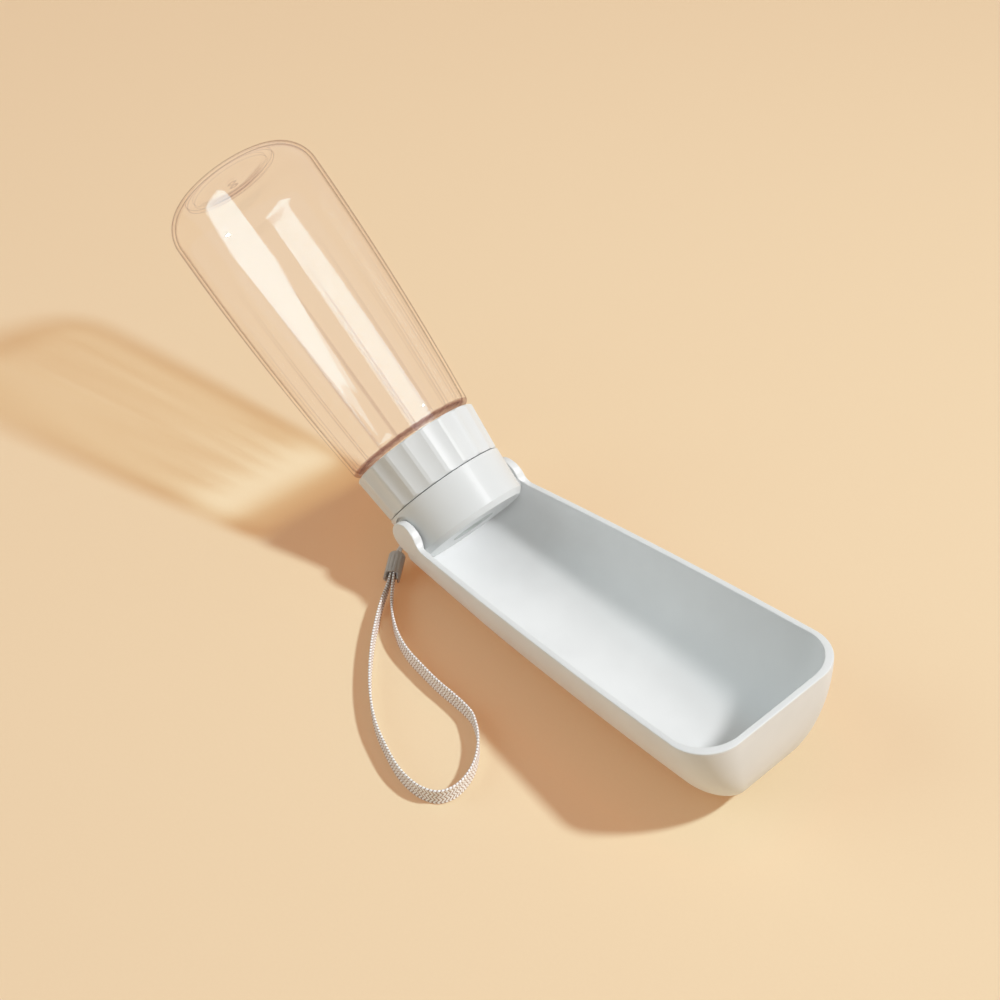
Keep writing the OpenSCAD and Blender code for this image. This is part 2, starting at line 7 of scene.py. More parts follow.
# %% Load the frame
import math
import bmesh
import bpy
import numpy as np
from mathutils import Matrix, Vector


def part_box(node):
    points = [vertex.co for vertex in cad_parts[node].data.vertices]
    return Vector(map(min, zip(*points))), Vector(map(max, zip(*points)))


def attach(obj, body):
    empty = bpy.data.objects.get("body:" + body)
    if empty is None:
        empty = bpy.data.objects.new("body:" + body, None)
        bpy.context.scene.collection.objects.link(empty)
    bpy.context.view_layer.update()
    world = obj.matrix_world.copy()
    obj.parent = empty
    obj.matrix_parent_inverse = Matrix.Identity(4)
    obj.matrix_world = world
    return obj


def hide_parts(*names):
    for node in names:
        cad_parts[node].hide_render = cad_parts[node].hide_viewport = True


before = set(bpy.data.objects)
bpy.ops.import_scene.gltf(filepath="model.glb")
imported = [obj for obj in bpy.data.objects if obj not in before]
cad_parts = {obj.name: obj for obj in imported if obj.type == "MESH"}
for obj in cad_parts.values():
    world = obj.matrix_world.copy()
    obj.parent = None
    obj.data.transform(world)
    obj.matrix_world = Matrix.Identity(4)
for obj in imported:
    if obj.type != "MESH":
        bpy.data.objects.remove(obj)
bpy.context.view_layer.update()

MM = 0.001

# %% [markdown]
# Everything on the real bottle is placed from the hinge axis, so we read that axis from a hinge pin.
# The bottle, collar and head share one long axis that rises backwards from the hinge. Three unit
# vectors along it and square to it let us write a place on them as a station, a radius and an angle.

# %% The hinge and the bottle's axis
pin_low, pin_high = (Vector(corner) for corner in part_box("hinge_pin_near"))
HINGE = Vector(((pin_low.x + pin_high.x) / 2, 0, (pin_low.z + pin_high.z) / 2))
BOTTLE_ANGLE = math.radians(33.2)
RIM_ANGLE = math.radians(6.5)
ALONG = Vector((-math.cos(BOTTLE_ANGLE), 0, math.sin(BOTTLE_ANGLE)))
OUTWARD = Vector((math.sin(BOTTLE_ANGLE), 0, math.cos(BOTTLE_ANGLE)))
SIDEWAYS = Vector((0, 1, 0))


def from_hinge(x, y, z):
    """A point given in millimetres from the hinge axis."""
    return HINGE + Vector((x, y, z)) * MM


def on_bottle(station, radius, angle):
    """A point round the bottle's axis, in millimetres from the hinge axis."""
    out = OUTWARD * math.cos(angle) + SIDEWAYS * math.sin(angle)
    return ALONG * station + out * radius


print("hinge axis at", tuple(round(v, 4) for v in HINGE))

# %% [markdown]
# The photograph looks down on the trough from its strap side. The camera's place, aim, roll and
# focal length come from matching the outline of the real bottle, so the render can be laid over the
# photograph. A camera's own axes are its right, its up and the way back from the subject.

# %% The camera
AIM = from_hinge(16.6, 10.6, 8.9)
CAMERA_AZIMUTH, CAMERA_ELEVATION, CAMERA_ROLL = (math.radians(a) for a in (48.27, 43.26, -1.245))
CAMERA_DISTANCE = 828.4 * MM
SENSOR_MM = 36
FOCAL_SHARE = 1.7933
CLIP_NEAR, CLIP_FAR = 0.01, 50

back = Vector((math.sin(CAMERA_AZIMUTH) * math.cos(CAMERA_ELEVATION),
               -math.cos(CAMERA_AZIMUTH) * math.cos(CAMERA_ELEVATION), math.sin(CAMERA_ELEVATION)))
level_right = Vector((math.cos(CAMERA_AZIMUTH), math.sin(CAMERA_AZIMUTH), 0))
level_up = back.cross(level_right)
right = level_right * math.cos(CAMERA_ROLL) + level_up * math.sin(CAMERA_ROLL)
up = level_up * math.cos(CAMERA_ROLL) - level_right * math.sin(CAMERA_ROLL)

lens = bpy.data.cameras.new("camera")
lens.sensor_width = SENSOR_MM
lens.lens = FOCAL_SHARE * SENSOR_MM
lens.clip_start, lens.clip_end = CLIP_NEAR, CLIP_FAR
camera = bpy.data.objects.new("camera", lens)
bpy.context.scene.collection.objects.link(camera)
place = AIM + back * CAMERA_DISTANCE
camera.matrix_world = Matrix((
    (right.x, up.x, back.x, place.x), (right.y, up.y, back.y, place.y),
    (right.z, up.z, back.z, place.z), (0, 0, 0, 1)))
bpy.context.scene.camera = camera
print("camera at", tuple(round(v, 3) for v in place), "lens", round(lens.lens, 2), "mm")

# %% [markdown]
# A material is a net of nodes, and sums in it are hard to read as boxes and wires. This small class
# holds one socket, so that a sum can be written as Python: each operator adds one Math node.

# %% Shader sums as Python
class Socket:
    """One output socket of a node, with the operators of arithmetic."""

    def __init__(self, tree, socket):
        self.tree, self.socket = tree, socket

    def math(self, operation, *values):
        return node(self.tree, "ShaderNodeMath", {"operation": operation}, dict(enumerate(values)))

    def __add__(self, other):
        return self.math("ADD", self, other)

    def __radd__(self, other):
        return self.math("ADD", other, self)

    def __sub__(self, other):
        return self.math("SUBTRACT", self, other)

    def __rsub__(self, other):
        return self.math("SUBTRACT", other, self)

    def __mul__(self, other):
        return self.math("MULTIPLY", self, other)

    def __rmul__(self, other):
        return self.math("MULTIPLY", other, self)

    def __truediv__(self, other):
        return self.math("DIVIDE", self, other)

    def __pow__(self, other):
        return self.math("POWER", self, other)

    def wave(self):
        return self.math("SINE", self)

    def size(self):
        return self.math("ABSOLUTE", self)

    def part(self):
        return self.math("FRACT", self)

    def within(self, low, high):
        return node(self.tree, "ShaderNodeMapRange", {"interpolation_type": "SMOOTHSTEP"},
                    {"Value": self, "From Min": low, "From Max": high})


def node(tree, kind, settings=None, inputs=None, output=0):
    """Adds a node, makes its settings first, then gives its sockets values or links."""
    made = tree.nodes.new(kind)
    for name, value in (settings or {}).items():
        setattr(made, name, value)
    for name, value in (inputs or {}).items():
        if isinstance(value, Socket):
            tree.links.new(value.socket, made.inputs[name])
        else:
            made.inputs[name].default_value = value
    return Socket(tree, made.outputs[output]) if made.outputs else None


def new_material(name):
    """An empty material and its node tree."""
    made = bpy.data.materials.new(name)
    made.use_nodes = True
    made.node_tree.nodes.clear()
    return made, made.node_tree


def finish_material(tree, shader):
    node(tree, "ShaderNodeOutputMaterial", inputs={"Surface": shader})


def finish_solid(tree, inputs):
    """Ends a material that light can't pass with one Principled shader."""
    finish_material(tree, node(tree, "ShaderNodeBsdfPrincipled", inputs=inputs))


def place_in_object(tree):
    """Where a point of the surface lies, in metres, as every piece has its origin at the scene's."""
    return node(tree, "ShaderNodeTexCoord", output="Object")


def noise(tree, place, scale, detail):
    """Soft random patches, with values around a half."""
    return node(tree, "ShaderNodeTexNoise", inputs={"Vector": place, "Scale": scale, "Detail": detail})


def relief(tree, height, strength, depth_mm):
    """A normal that follows a height, for grain too fine to build."""
    return node(tree, "ShaderNodeBump", inputs={
        "Height": height, "Strength": strength, "Distance": depth_mm * MM})


def blend_colour(tree, factor, first, second):
    """Mixes two colours, which a Math node would turn grey. The node's names repeat, so its sockets
    go by number."""
    mixed = tree.nodes.new("ShaderNodeMix")
    mixed.data_type = "RGBA"
    for socket, value in ((mixed.inputs[0], factor), (mixed.inputs[6], first), (mixed.inputs[7], second)):
        if isinstance(value, Socket):
            tree.links.new(value.socket, socket)
        else:
            socket.default_value = value
    return Socket(tree, mixed.outputs[2])


def ray_is(tree, kind):
    """One for rays of a kind, such as Shadow or Camera, and zero for all others."""
    return node(tree, "ShaderNodeLightPath", output=f"Is {kind} Ray")


def shade(colour, share):
    """The same colour, lighter or darker, with an alpha of one."""
    return tuple(channel * share for channel in colour[:3]) + (1.0,)


print("shader helpers are ready")

# %% [markdown]
# The wrist strap is a flat woven tape in a long loop, standing on its edge on the ground. Its two
# ends meet in a ribbed rubber sleeve, and a thin cord runs from the sleeve through the trough's lug
# and back. Both are swept along the same route points that the solids follow, so we start with them.

# %% Sweeping a section along a route
TAPE_WIDTH, TAPE_END_WIDTH, TAPE_THICKNESS = 8.6, 5.2, 1.1
CORD_DIAMETER = 1.4
FLOOR_DEPTH = HINGE.z / MM
OFF_FLOOR = 0.2
TAPE_HEIGHT = TAPE_WIDTH / 2 + OFF_FLOOR - FLOOR_DEPTH
SLEEVE_TOP = np.array((-16.5, -25.5, -25.0))
SLEEVE_END = np.array((-7.5, -37.5, -28.0))
CRIMP_START = 5.0
CRIMP_END_GAP = 4.5
WELD_DISTANCE = 1e-7

sleeve_length = float(np.linalg.norm(SLEEVE_END - SLEEVE_TOP))
sleeve_dir = (SLEEVE_END - SLEEVE_TOP) / sleeve_length
sleeve_side = np.cross((0, 0, 1), sleeve_dir)
sleeve_side /= np.linalg.norm(sleeve_side)
sleeve_up = np.cross(sleeve_dir, sleeve_side)


def in_sleeve(along, side, up_by=0.0):
    """A point in the sleeve's own directions, in millimetres from the hinge axis."""
    return SLEEVE_TOP + sleeve_dir * along + sleeve_side * side + sleeve_up * up_by


def smooth_route(points, steps):
    """A smooth run through the points, by the same rule as the solids."""
    p = [np.array(point, float) for point in points]
    line = []
    for k in range(len(p) - 1):
        a, b, c, d = p[max(k - 1, 0)], p[k], p[k + 1], p[min(k + 2, len(p) - 1)]
        for t in np.arange(steps) / steps:
            line.append(0.5 * (2 * b + (c - a) * t + (2 * a - 5 * b + 4 * c - d) * t ** 2
                               + (3 * b - a - 3 * c + d) * t ** 3))
    return np.array(line + [p[-1]])


def frames_along(line):
    """Unit vectors across and up at every point of a line, with up kept near the vertical."""
    ahead = np.gradient(line, axis=0)
    ahead /= np.linalg.norm(ahead, axis=1)[:, None]
    lift = np.array((0, 0, 1.0)) - ahead * ahead[:, 2:3]
    lift /= np.linalg.norm(lift, axis=1)[:, None]
    return np.cross(ahead, lift), lift


def weld(mesh):
    """Merges points that lie on each other, such as the many that a pole or a keel line gets."""
    net = bmesh.new()
    net.from_mesh(mesh)
    bmesh.ops.remove_doubles(net, verts=net.verts, dist=WELD_DISTANCE)
    bmesh.ops.recalc_face_normals(net, faces=net.faces)
    net.to_mesh(mesh)
    net.free()


def mesh_piece(name, points, faces, uv=None, sharp=None):
    """A smooth mesh object from points in millimetres from the hinge axis."""
    mesh = bpy.data.meshes.new(name)
    mesh.from_pydata([tuple(HINGE + Vector(p) * MM) for p in points], [], faces)
    if uv is None:
        weld(mesh)
    else:
        layer = mesh.uv_layers.new(name="UVMap")
        corners = np.empty(len(mesh.loops), dtype=np.int64)
        mesh.loops.foreach_get("vertex_index", corners)
        layer.data.foreach_set("uv", np.asarray(uv, np.float32)[corners].ravel())
    mesh.shade_smooth()
    if sharp:
        mesh.set_sharp_from_angle(angle=math.radians(sharp))
    mesh.update()
    made = bpy.data.objects.new(name, mesh)
    bpy.context.scene.collection.objects.link(made)
    return made


def grid_faces(rows, columns, base=0, closed_rows=False):
    """Quads between the points of a grid whose rows are closed rings."""
    last = rows if closed_rows else rows - 1
    return [(base + r * columns + c, base + r * columns + (c + 1) % columns,
             base + (r + 1) % rows * columns + (c + 1) % columns, base + (r + 1) % rows * columns + c)
            for r in range(last) for c in range(columns)]


def sweep(name, line, section):
    """A closed tube: section(k) gives (across, up) pairs in millimetres for ring k."""
    across, lift = frames_along(line)
    run = np.concatenate([[0], np.cumsum(np.linalg.norm(np.diff(line, axis=0), axis=1))])
    points, uv = [], []
    for k, centre in enumerate(line):
        for s, u in section(k):
            points.append(centre + across[k] * s + lift[k] * u)
            uv.append((run[k] * MM, u * MM))
    n = len(section(0))
    ends = [tuple(reversed(range(n))), tuple((len(line) - 1) * n + j for j in range(n))]
    return mesh_piece(name, points, grid_faces(len(line), n) + ends, uv)


print("sleeve is", round(sleeve_length, 1), "mm long")

# %% [markdown]
# The tape's section is a flat strip whose two edges are thicker rolls, as on a tubular weave. The
# strip narrows where it is pinched into the sleeve.

# %% The tape and the cord
TAPE_LIFT = 0.4
TAPE_ROUTE = [(-4.5, -42.5, TAPE_HEIGHT + TAPE_LIFT)] + [(x, y, TAPE_HEIGHT) for x, y in (
    (3, -53), (16.5, -68.5), (29.5, -81), (42, -91), (55, -99), (67, -104), (80, -108), (89.5, -109),
    (97, -108), (103, -104.5), (105.5, -98), (104.5, -90), (100.5, -81.5), (93, -73), (84, -67),
    (77.5, -65), (67.5, -64.5), (57, -64.5), (44.5, -63.5), (33, -62), (21, -58), (8.5, -50.5),
)] + [(-2, -41.5, TAPE_HEIGHT + TAPE_LIFT)]
CORD_ROUTE = [
    (-20.5, -18, -25.5), (-22.5, -10, -27.4), (-22.5, -4, -28.2), (-22.1, 0, -28.3),
    (-22.5, 3.2, -28.6), (-24.6, 4.2, -29.6), (-27, 2.6, -30.6), (-28, 0, -31), (-27.6, -3.5, -30.8),
    (-25.6, -10, -29.6), (-22, -18, -27.6)]
TAPE_STEPS, CORD_STEPS, CORD_SIDES = 12, 10, 12
TAPE_APART, CORD_APART = 0.6 * TAPE_THICKNESS, 0.8
NARROW_SPANS, WIDEN_SPANS = 0.5, 2
WEB_THICKNESS, ROLL_TURN, ROLL_REACH = 0.62, 2.2, 2.4
ROLL_POINTS, WEB_POINTS = 6, 5

crimp_end = sleeve_length - CRIMP_END_GAP
tape_line = smooth_route([in_sleeve(crimp_end, -TAPE_APART)] + TAPE_ROUTE
                         + [in_sleeve(crimp_end, TAPE_APART)], TAPE_STEPS)
cord_line = smooth_route([in_sleeve(CRIMP_START, CORD_APART), in_sleeve(0, CORD_APART)] + CORD_ROUTE
                         + [in_sleeve(0, -CORD_APART), in_sleeve(CRIMP_START, -CORD_APART)], CORD_STEPS)


def route_length(line):
    return float(np.linalg.norm(np.diff(line, axis=0), axis=1).sum())


def tape_section(k):
    """A strip with rolled edges, as (across, up) pairs. A span lies between two route points."""
    spans = min(k, len(tape_line) - 1 - k) / TAPE_STEPS
    widened = min(1, max(0, spans - NARROW_SPANS) / WIDEN_SPANS)
    width = TAPE_END_WIDTH + (TAPE_WIDTH - TAPE_END_WIDTH) * widened
    half, roll = width / 2, TAPE_THICKNESS / 2
    right_side = [(roll * math.sin(a), half - roll + roll * math.cos(a))
                  for a in np.linspace(0, ROLL_TURN, ROLL_POINTS)]
    web_edge = half - ROLL_REACH * roll
    web = [(WEB_THICKNESS * roll, u) for u in np.linspace(web_edge, -web_edge, WEB_POINTS)]
    lower = [(s, -u) for s, u in reversed(right_side)]
    one_side = right_side + web + lower
    return one_side + [(-s, u) for s, u in reversed(one_side[1:-1])]


def round_section(radius, sides):
    angles = [2 * math.pi * j / sides for j in range(sides)]
    return [(radius * math.cos(a), radius * math.sin(a)) for a in angles]


strap_tape = sweep("strap_tape_woven", tape_line, tape_section)
strap_cord = sweep("strap_cord_braided", cord_line, lambda k: round_section(CORD_DIAMETER / 2, CORD_SIDES))
for piece, solid, finish in ((strap_tape, "strap_tape", "tape"), (strap_cord, "strap_cord", "cord")):
    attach(piece, "trough")
    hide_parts(solid)
print("tape", round(route_length(tape_line)), "mm, cord", round(route_length(cord_line)), "mm")

# %% [markdown]
# The trough is one moulded shell with a flat lip of even width, about as thick as its wall. Its
# outline from above is a half round behind the hinge, two bowed sides, and a square end with round
# corners. Below each point of the outline the wall curves in to a keel, like a boat's. We work out
# the outline once, then send every point of it down the same curve, for the outside and the inside.
# The inside is a little fuller at the far end, so the folded bottle's base clears it.

# %% The trough's outline
HALF_WIDTH_HINGE, HALF_WIDTH_END, SIDE_BOW = 33.3, 44.8, 1.9
TROUGH_LENGTH, CORNER_RADIUS, END_CURVE_FROM = 195.2, 19.0, 160.0
LIP, FLOOR_WALL, RIM_RISE, FOOT_CUT = 2.9, 2.2, 0.7, 1.5
SECTION_POWER, END_SECTION_POWER, SHARPER_FROM = 2.05, 1.7, 60.0
END_POWER, END_POWER_INSIDE = 2.6, 2.72
EAR_RADIUS, EAR_SWEEP, EAR_INSIDE, HEEL_SHARE = 9.2, 6.0, 29.75, 0.74
BOWL_INSIDE = FLOOR_DEPTH - FLOOR_WALL
SIDE_END_X = TROUGH_LENGTH - CORNER_RADIUS

# The sweep's centre lies one sweep radius over the rim's line, and both radii from the ear's middle.
rim_slope = math.tan(RIM_ANGLE)
sweep_rise = RIM_RISE + EAR_SWEEP / math.cos(RIM_ANGLE)
sweep_reach = EAR_RADIUS + EAR_SWEEP
square, slope_term = 1 + rim_slope ** 2, sweep_rise * rim_slope
root = math.sqrt(slope_term ** 2 - square * (sweep_rise ** 2 - sweep_reach ** 2))
sweep_x = (root - slope_term) / square
sweep_z = sweep_rise + rim_slope * sweep_x
SWEEP_FROM = sweep_x + EAR_SWEEP * math.sin(RIM_ANGLE)
SWEEP_TO = sweep_x * EAR_RADIUS / sweep_reach


def half_width(x):
    t = x / TROUGH_LENGTH
    return HALF_WIDTH_HINGE + (HALF_WIDTH_END - HALF_WIDTH_HINGE) * t + SIDE_BOW * 4 * t * (1 - t)


def rim_height(x):
    return RIM_RISE + np.maximum(x, 0) * math.tan(RIM_ANGLE)


# The points of the heel and the side crowd towards the ear, where the rim bends most.
HEEL_POINTS, EAR_POINTS, SIDE_POINTS, CORNER_POINTS, END_POINTS = 28, 44, 60, 25, 13
HEEL_CROWDING, SIDE_CROWDING = 1.7, 1.3
CORNER_Y = half_width(SIDE_END_X) - CORNER_RADIUS
heel_angles = np.radians(90 * (1 - np.arange(HEEL_POINTS) / HEEL_POINTS) ** HEEL_CROWDING)
near_ear = np.linspace(0, SWEEP_FROM, EAR_POINTS)[:-1]
side_shares = np.linspace(0, 1, SIDE_POINTS)[:-1] ** SIDE_CROWDING
along_side = SWEEP_FROM + (SIDE_END_X - SWEEP_FROM) * side_shares
corner_angles = np.radians(np.linspace(0, 90, CORNER_POINTS)[:-1])
end_shares = np.linspace(1, 0, END_POINTS)
outline = np.concatenate([
    np.stack([-np.sin(heel_angles) * FLOOR_DEPTH, np.cos(heel_angles) * half_width(0)], 1),
    np.stack([near_ear, half_width(near_ear)], 1),
    np.stack([along_side, half_width(along_side)], 1),
    np.stack([SIDE_END_X + CORNER_RADIUS * np.sin(corner_angles),
              CORNER_Y + CORNER_RADIUS * np.cos(corner_angles)], 1),
    np.stack([np.full(END_POINTS, TROUGH_LENGTH), CORNER_Y * end_shares], 1)])
print("outline:", len(outline), "points on each side")

# %% [markdown]
# Each side of the rim sweeps up into a round ear, so the first millimetres of the wall rise in a
# quarter circle. Behind the ears the wall drops to a low heel. The share below says at which part of
# the depth a wall starts: none of it on the rim, three quarters of it on the heel.

# %% The trough's wall
WALL_ROWS, LIP_STEPS, LIP_EDGE = 34, 4, 0.45
BEHIND_EAR, EAR_SHARE, HEEL_DROP_ANGLE = 0.6 * EAR_RADIUS, 0.2, 6
UNDER_EAR_EDGE, SHORT_OF_EAR = 0.4, 0.1
WIDEN_FROM, WIDEN_RUN, WIDEN_DEPTH = 10.4, 2, 2.5


def start_share(x, y):
    """Share of the depth at which the wall starts."""
    behind = np.degrees(np.arccos(np.clip(y / half_width(0), -1, 1)))
    heel = HEEL_SHARE - (HEEL_SHARE - EAR_SHARE) * np.exp(-behind / HEEL_DROP_ANGLE)
    return np.where(x < 0, heel, np.maximum(0, EAR_SHARE * (1 - x / BEHIND_EAR)))


def ear_sweep(x):
    """How far the rim is lifted in the sweep, and then on just under the ear's edge."""
    if x < BEHIND_EAR or x > SWEEP_FROM:
        return 0.0
    if x > SWEEP_TO:
        return sweep_z - math.sqrt(EAR_SWEEP ** 2 - (sweep_x - x) ** 2) - rim_height(x)
    tucked_in = UNDER_EAR_EDGE * min(1, SWEEP_TO - x)
    return math.sqrt(EAR_RADIUS ** 2 - x ** 2) - tucked_in - rim_height(x)


def ear_widening(x):
    """How much the lip grows inwards to meet the ear, which is thicker than the wall."""
    if x <= 0:
        return 0.0
    thicker = half_width(x) - LIP - EAR_INSIDE - SHORT_OF_EAR
    return max(0, thicker) * min(1, max(0, (WIDEN_FROM - x) / WIDEN_RUN))


def power_at(x):
    """Fullness of the cross-section, which gets sharper at the keel towards the far end."""
    share = np.clip((x - SHARPER_FROM) / (TROUGH_LENGTH - SHARPER_FROM), 0, 1)
    return SECTION_POWER + (END_SECTION_POWER - SECTION_POWER) * share


def skin(x, y, q, outer):
    """Points of the outside or the inside, q of the way down from the rim's height to the keel."""
    inset, depth, cut = (0, FLOOR_DEPTH, FOOT_CUT) if outer else (LIP, BOWL_INSIDE, 0)
    power = power_at(x)
    s = np.maximum(1 - q ** power, 0) ** (1 / power)
    end_power = END_POWER if outer else END_POWER_INSIDE
    e = np.maximum(1 - q ** end_power, 0) ** (1 / end_power)
    top = rim_height(x)
    z = np.maximum(top - (top + depth + cut) * q, -FLOOR_DEPTH)
    end_reach = (TROUGH_LENGTH - inset - END_CURVE_FROM) / (TROUGH_LENGTH - END_CURVE_FROM)
    behind = x * (1 if outer else BOWL_INSIDE / FLOOR_DEPTH) * s
    ahead = END_CURVE_FROM + (x - END_CURVE_FROM) * end_reach * e
    bent = np.where(x < 0, behind, np.where(x > END_CURVE_FROM, ahead, x))
    lean = math.tan(RIM_ANGLE) * (rim_height(bent) - z) * np.clip(bent / END_CURVE_FROM, 0, 1)
    return np.stack([bent + lean, (y - inset * np.minimum(1, y / CORNER_Y)) * s, z], -1)


def wall_column(x, y):
    """One line of points from the keel up the outside, over the rounded lip and down the inside."""
    share = start_share(x, y)
    top = rim_height(x)
    lip_z = top - (top + FLOOR_DEPTH + FOOT_CUT) * share + ear_sweep(x)
    inner_share = np.clip((top - min(lip_z, top)) / (top + BOWL_INSIDE), 0, 1)
    lift = np.array((0, 0, ear_sweep(x)))

    def side_of_wall(first, outer):
        first_angle = math.asin(first ** (power_at(x) / 2))
        q = np.sin(np.linspace(first_angle, math.pi / 2, WALL_ROWS)) ** (2 / power_at(x))
        return skin(np.full(WALL_ROWS, x), np.full(WALL_ROWS, y), q, outer)

    outside, inside = side_of_wall(share, True), side_of_wall(inner_share, False)
    outside[0] += lift
    inside[0] += lift
    inside[:, 1] -= ear_widening(x) * np.exp((inside[:, 2] - inside[0, 2]) / WIDEN_DEPTH)
    across = (inside[0] - outside[0]) / np.linalg.norm(inside[0] - outside[0])
    edges = []
    for edge, below, inward in ((outside[0], outside[1], across), (inside[0], inside[1], -across)):
        down = (below - edge) / np.linalg.norm(below - edge)
        turn = np.radians(np.linspace(0, 90, LIP_STEPS + 1))[:, None]
        edges.append(edge + LIP_EDGE * ((1 - np.sin(turn)) * down + (1 - np.cos(turn)) * inward))
    return np.concatenate([outside[:0:-1], edges[0], edges[1][::-1], inside[1:]])


columns = np.array([wall_column(x, y) for x, y in outline])
mirrored = columns[-2:0:-1] * (1, -1, 1)
shell_points = np.concatenate([columns, mirrored])
print("trough wall:", shell_points.shape[0], "columns of", shell_points.shape[1])

# %% [markdown]
# The ears are discs that go on in the plane of the wall, and the strap's lug is a small ring behind
# the heel. An ear's outer face follows the curve of the wall below the rim, so that no step shows.
# Its inner face stands close to the head, with a round seat sunk into it for the friction washer.

# %% The ears and the lug
EAR_EDGE, EAR_PROUD, EAR_RINGS, EAR_SIDES = 0.45, 0.04, 10, 96
SEAT_RADIUS, SEAT_DEPTH, SEAT_DRAFT = 7.2, 0.85, 0.1
LUG_RADIUS, LUG_HOLE, LUG_THICKNESS, LUG_EDGE, LUG_SIDES = 3.6, 1.8, 3.0, 0.5, 40
LUG_REACH, LUG_ANGLE = FLOOR_DEPTH + 2.4, math.radians(52)
EAR_EDGE_POINTS, LUG_EDGE_POINTS, SHARP_EDGE = 5, 4, 50


def ear_face_y(x, z):
    """Where the wall's outside lies at a point of the ear."""
    ahead = np.maximum(x, 0)
    top = rim_height(ahead)
    q = np.clip((top - z) / (top + FLOOR_DEPTH + FOOT_CUT), 0, 1)
    return half_width(ahead) * np.maximum(1 - q ** SECTION_POWER, 0) ** (1 / SECTION_POWER)


def ear_points(side):
    """Rings from the middle of the outer face, over the edge, to the middle of the inner face."""
    turn = np.linspace(0, 2 * math.pi, EAR_SIDES, endpoint=False)
    edge = [(EAR_RADIUS - EAR_EDGE * (1 - math.sin(a)), EAR_EDGE * (1 - math.cos(a)))
            for a in np.radians(np.linspace(0, 90, EAR_EDGE_POINTS))]
    rings = [(r, 0.0, True) for r in np.linspace(0, EAR_RADIUS - EAR_EDGE, EAR_RINGS)[:-1]]
    rings += [(r, sunk, True) for r, sunk in edge]
    rings += [(r, sunk, False) for r, sunk in reversed(edge)]
    rings += [(SEAT_RADIUS, 0.0, False), (SEAT_RADIUS - SEAT_DRAFT, SEAT_DEPTH, False),
              (0.0, SEAT_DEPTH, False)]
    points = []
    for radius, sunk, on_outside in rings:
        x, z = radius * np.cos(turn), radius * np.sin(turn)
        if on_outside:
            y = ear_face_y(x, z) + EAR_PROUD - sunk
        else:
            y = np.full(EAR_SIDES, EAR_INSIDE + sunk)
        points.append(np.stack([x, y * side, z], -1))
    return np.concatenate(points), len(rings)


def lug_points():
    """A ring with rounded edges round the cord's hole."""
    turn = np.linspace(0, 2 * math.pi, LUG_SIDES, endpoint=False)
    outer, inner, side = LUG_RADIUS - LUG_EDGE, LUG_HOLE + LUG_EDGE, LUG_THICKNESS / 2 - LUG_EDGE
    section = []
    for radius, y, first in ((outer, side, 0), (inner, side, 90), (inner, -side, 180), (outer, -side, 270)):
        for a in np.radians(np.linspace(first, first + 90, LUG_EDGE_POINTS)):
            section.append((radius + LUG_EDGE * math.cos(a), y + LUG_EDGE * math.sin(a)))
    centre = np.array((-LUG_REACH * math.cos(LUG_ANGLE), 0, -LUG_REACH * math.sin(LUG_ANGLE)))
    rings = [np.stack([r * np.cos(turn), np.full(LUG_SIDES, y), r * np.sin(turn)], -1) + centre
             for r, y in section]
    return np.concatenate(rings), len(section)


# A column of the wall isn't a closed ring, so the faces from its last point to its first come out.
column_size = shell_points.shape[1]
trough_points = [shell_points.reshape(-1, 3)]
trough_faces = [face for face in grid_faces(shell_points.shape[0], column_size, closed_rows=True)
                if face[0] % column_size != column_size - 1]
count = len(trough_points[0])
for side in (-1, 1):
    ear, rings = ear_points(side)
    trough_faces += grid_faces(rings, EAR_SIDES, base=count)
    trough_points.append(ear)
    count += len(ear)
lug, lug_rings = lug_points()
trough_faces += grid_faces(lug_rings, LUG_SIDES, base=count, closed_rows=True)
trough_points.append(lug)
trough = mesh_piece("trough_moulded", np.concatenate(trough_points), trough_faces, sharp=SHARP_EDGE)
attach(trough, "trough")
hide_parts("trough_shell")
print("trough mesh:", len(trough.data.polygons), "faces")

# %% [markdown]
# The sleeve is a soft ribbed cap. Its top is domed round the cord, fine grooves run down its side,
# and its open end is notched on the two broad sides, so that two short prongs hold the tape.

# %% The sleeve
SLEEVE_RADIUS, SLEEVE_WALL, SLEEVE_EDGE, SLEEVE_SIDES = 4.0, 1.0, 0.25, 120
SLEEVE_GROOVES, GROOVE_DEPTH, GROOVE_SHARPNESS = 12, 0.28, 3
GROOVES_FROM, GROOVES_STOP_SHORT = 3, 1.2
CORD_HOLE, DOME_RADIUS, DOME_CENTRE, DOME_FROM, SIDE_FROM = 1.7, 2.1, (1.9, 2.3), -80, 2.8
DOME_POINTS, SIDE_ROWS, CAVITY_ROWS, MOUTH_EDGE = 9, 26, 14, 0.2
NOTCH, NOTCH_RUN, NOTCH_AT, NOTCH_RAMP = 2.6, 6, 0.55, 0.2
CAVITY_TOP = CRIMP_START - 1


def sleeve_profile():
    """(radius, station) pairs down the outside, round the open end and up the inside."""
    dome = [(DOME_CENTRE[0] + DOME_RADIUS * math.cos(a), DOME_CENTRE[1] + DOME_RADIUS * math.sin(a))
            for a in np.radians(np.linspace(DOME_FROM, 0, DOME_POINTS))]
    outer = [(SLEEVE_RADIUS, s) for s in np.linspace(SIDE_FROM, sleeve_length - SLEEVE_EDGE, SIDE_ROWS)]
    inner_radius = SLEEVE_RADIUS - SLEEVE_WALL
    mouth = [(SLEEVE_RADIUS - SLEEVE_EDGE, sleeve_length), (inner_radius + MOUTH_EDGE, sleeve_length),
             (inner_radius, sleeve_length - SLEEVE_EDGE)]
    inner = [(inner_radius, s) for s in np.linspace(sleeve_length - SLEEVE_WALL, CAVITY_TOP, CAVITY_ROWS)]
    return [(CORD_HOLE, SLEEVE_EDGE)] + dome + outer + mouth + inner + [(CORD_HOLE, CAVITY_TOP)]


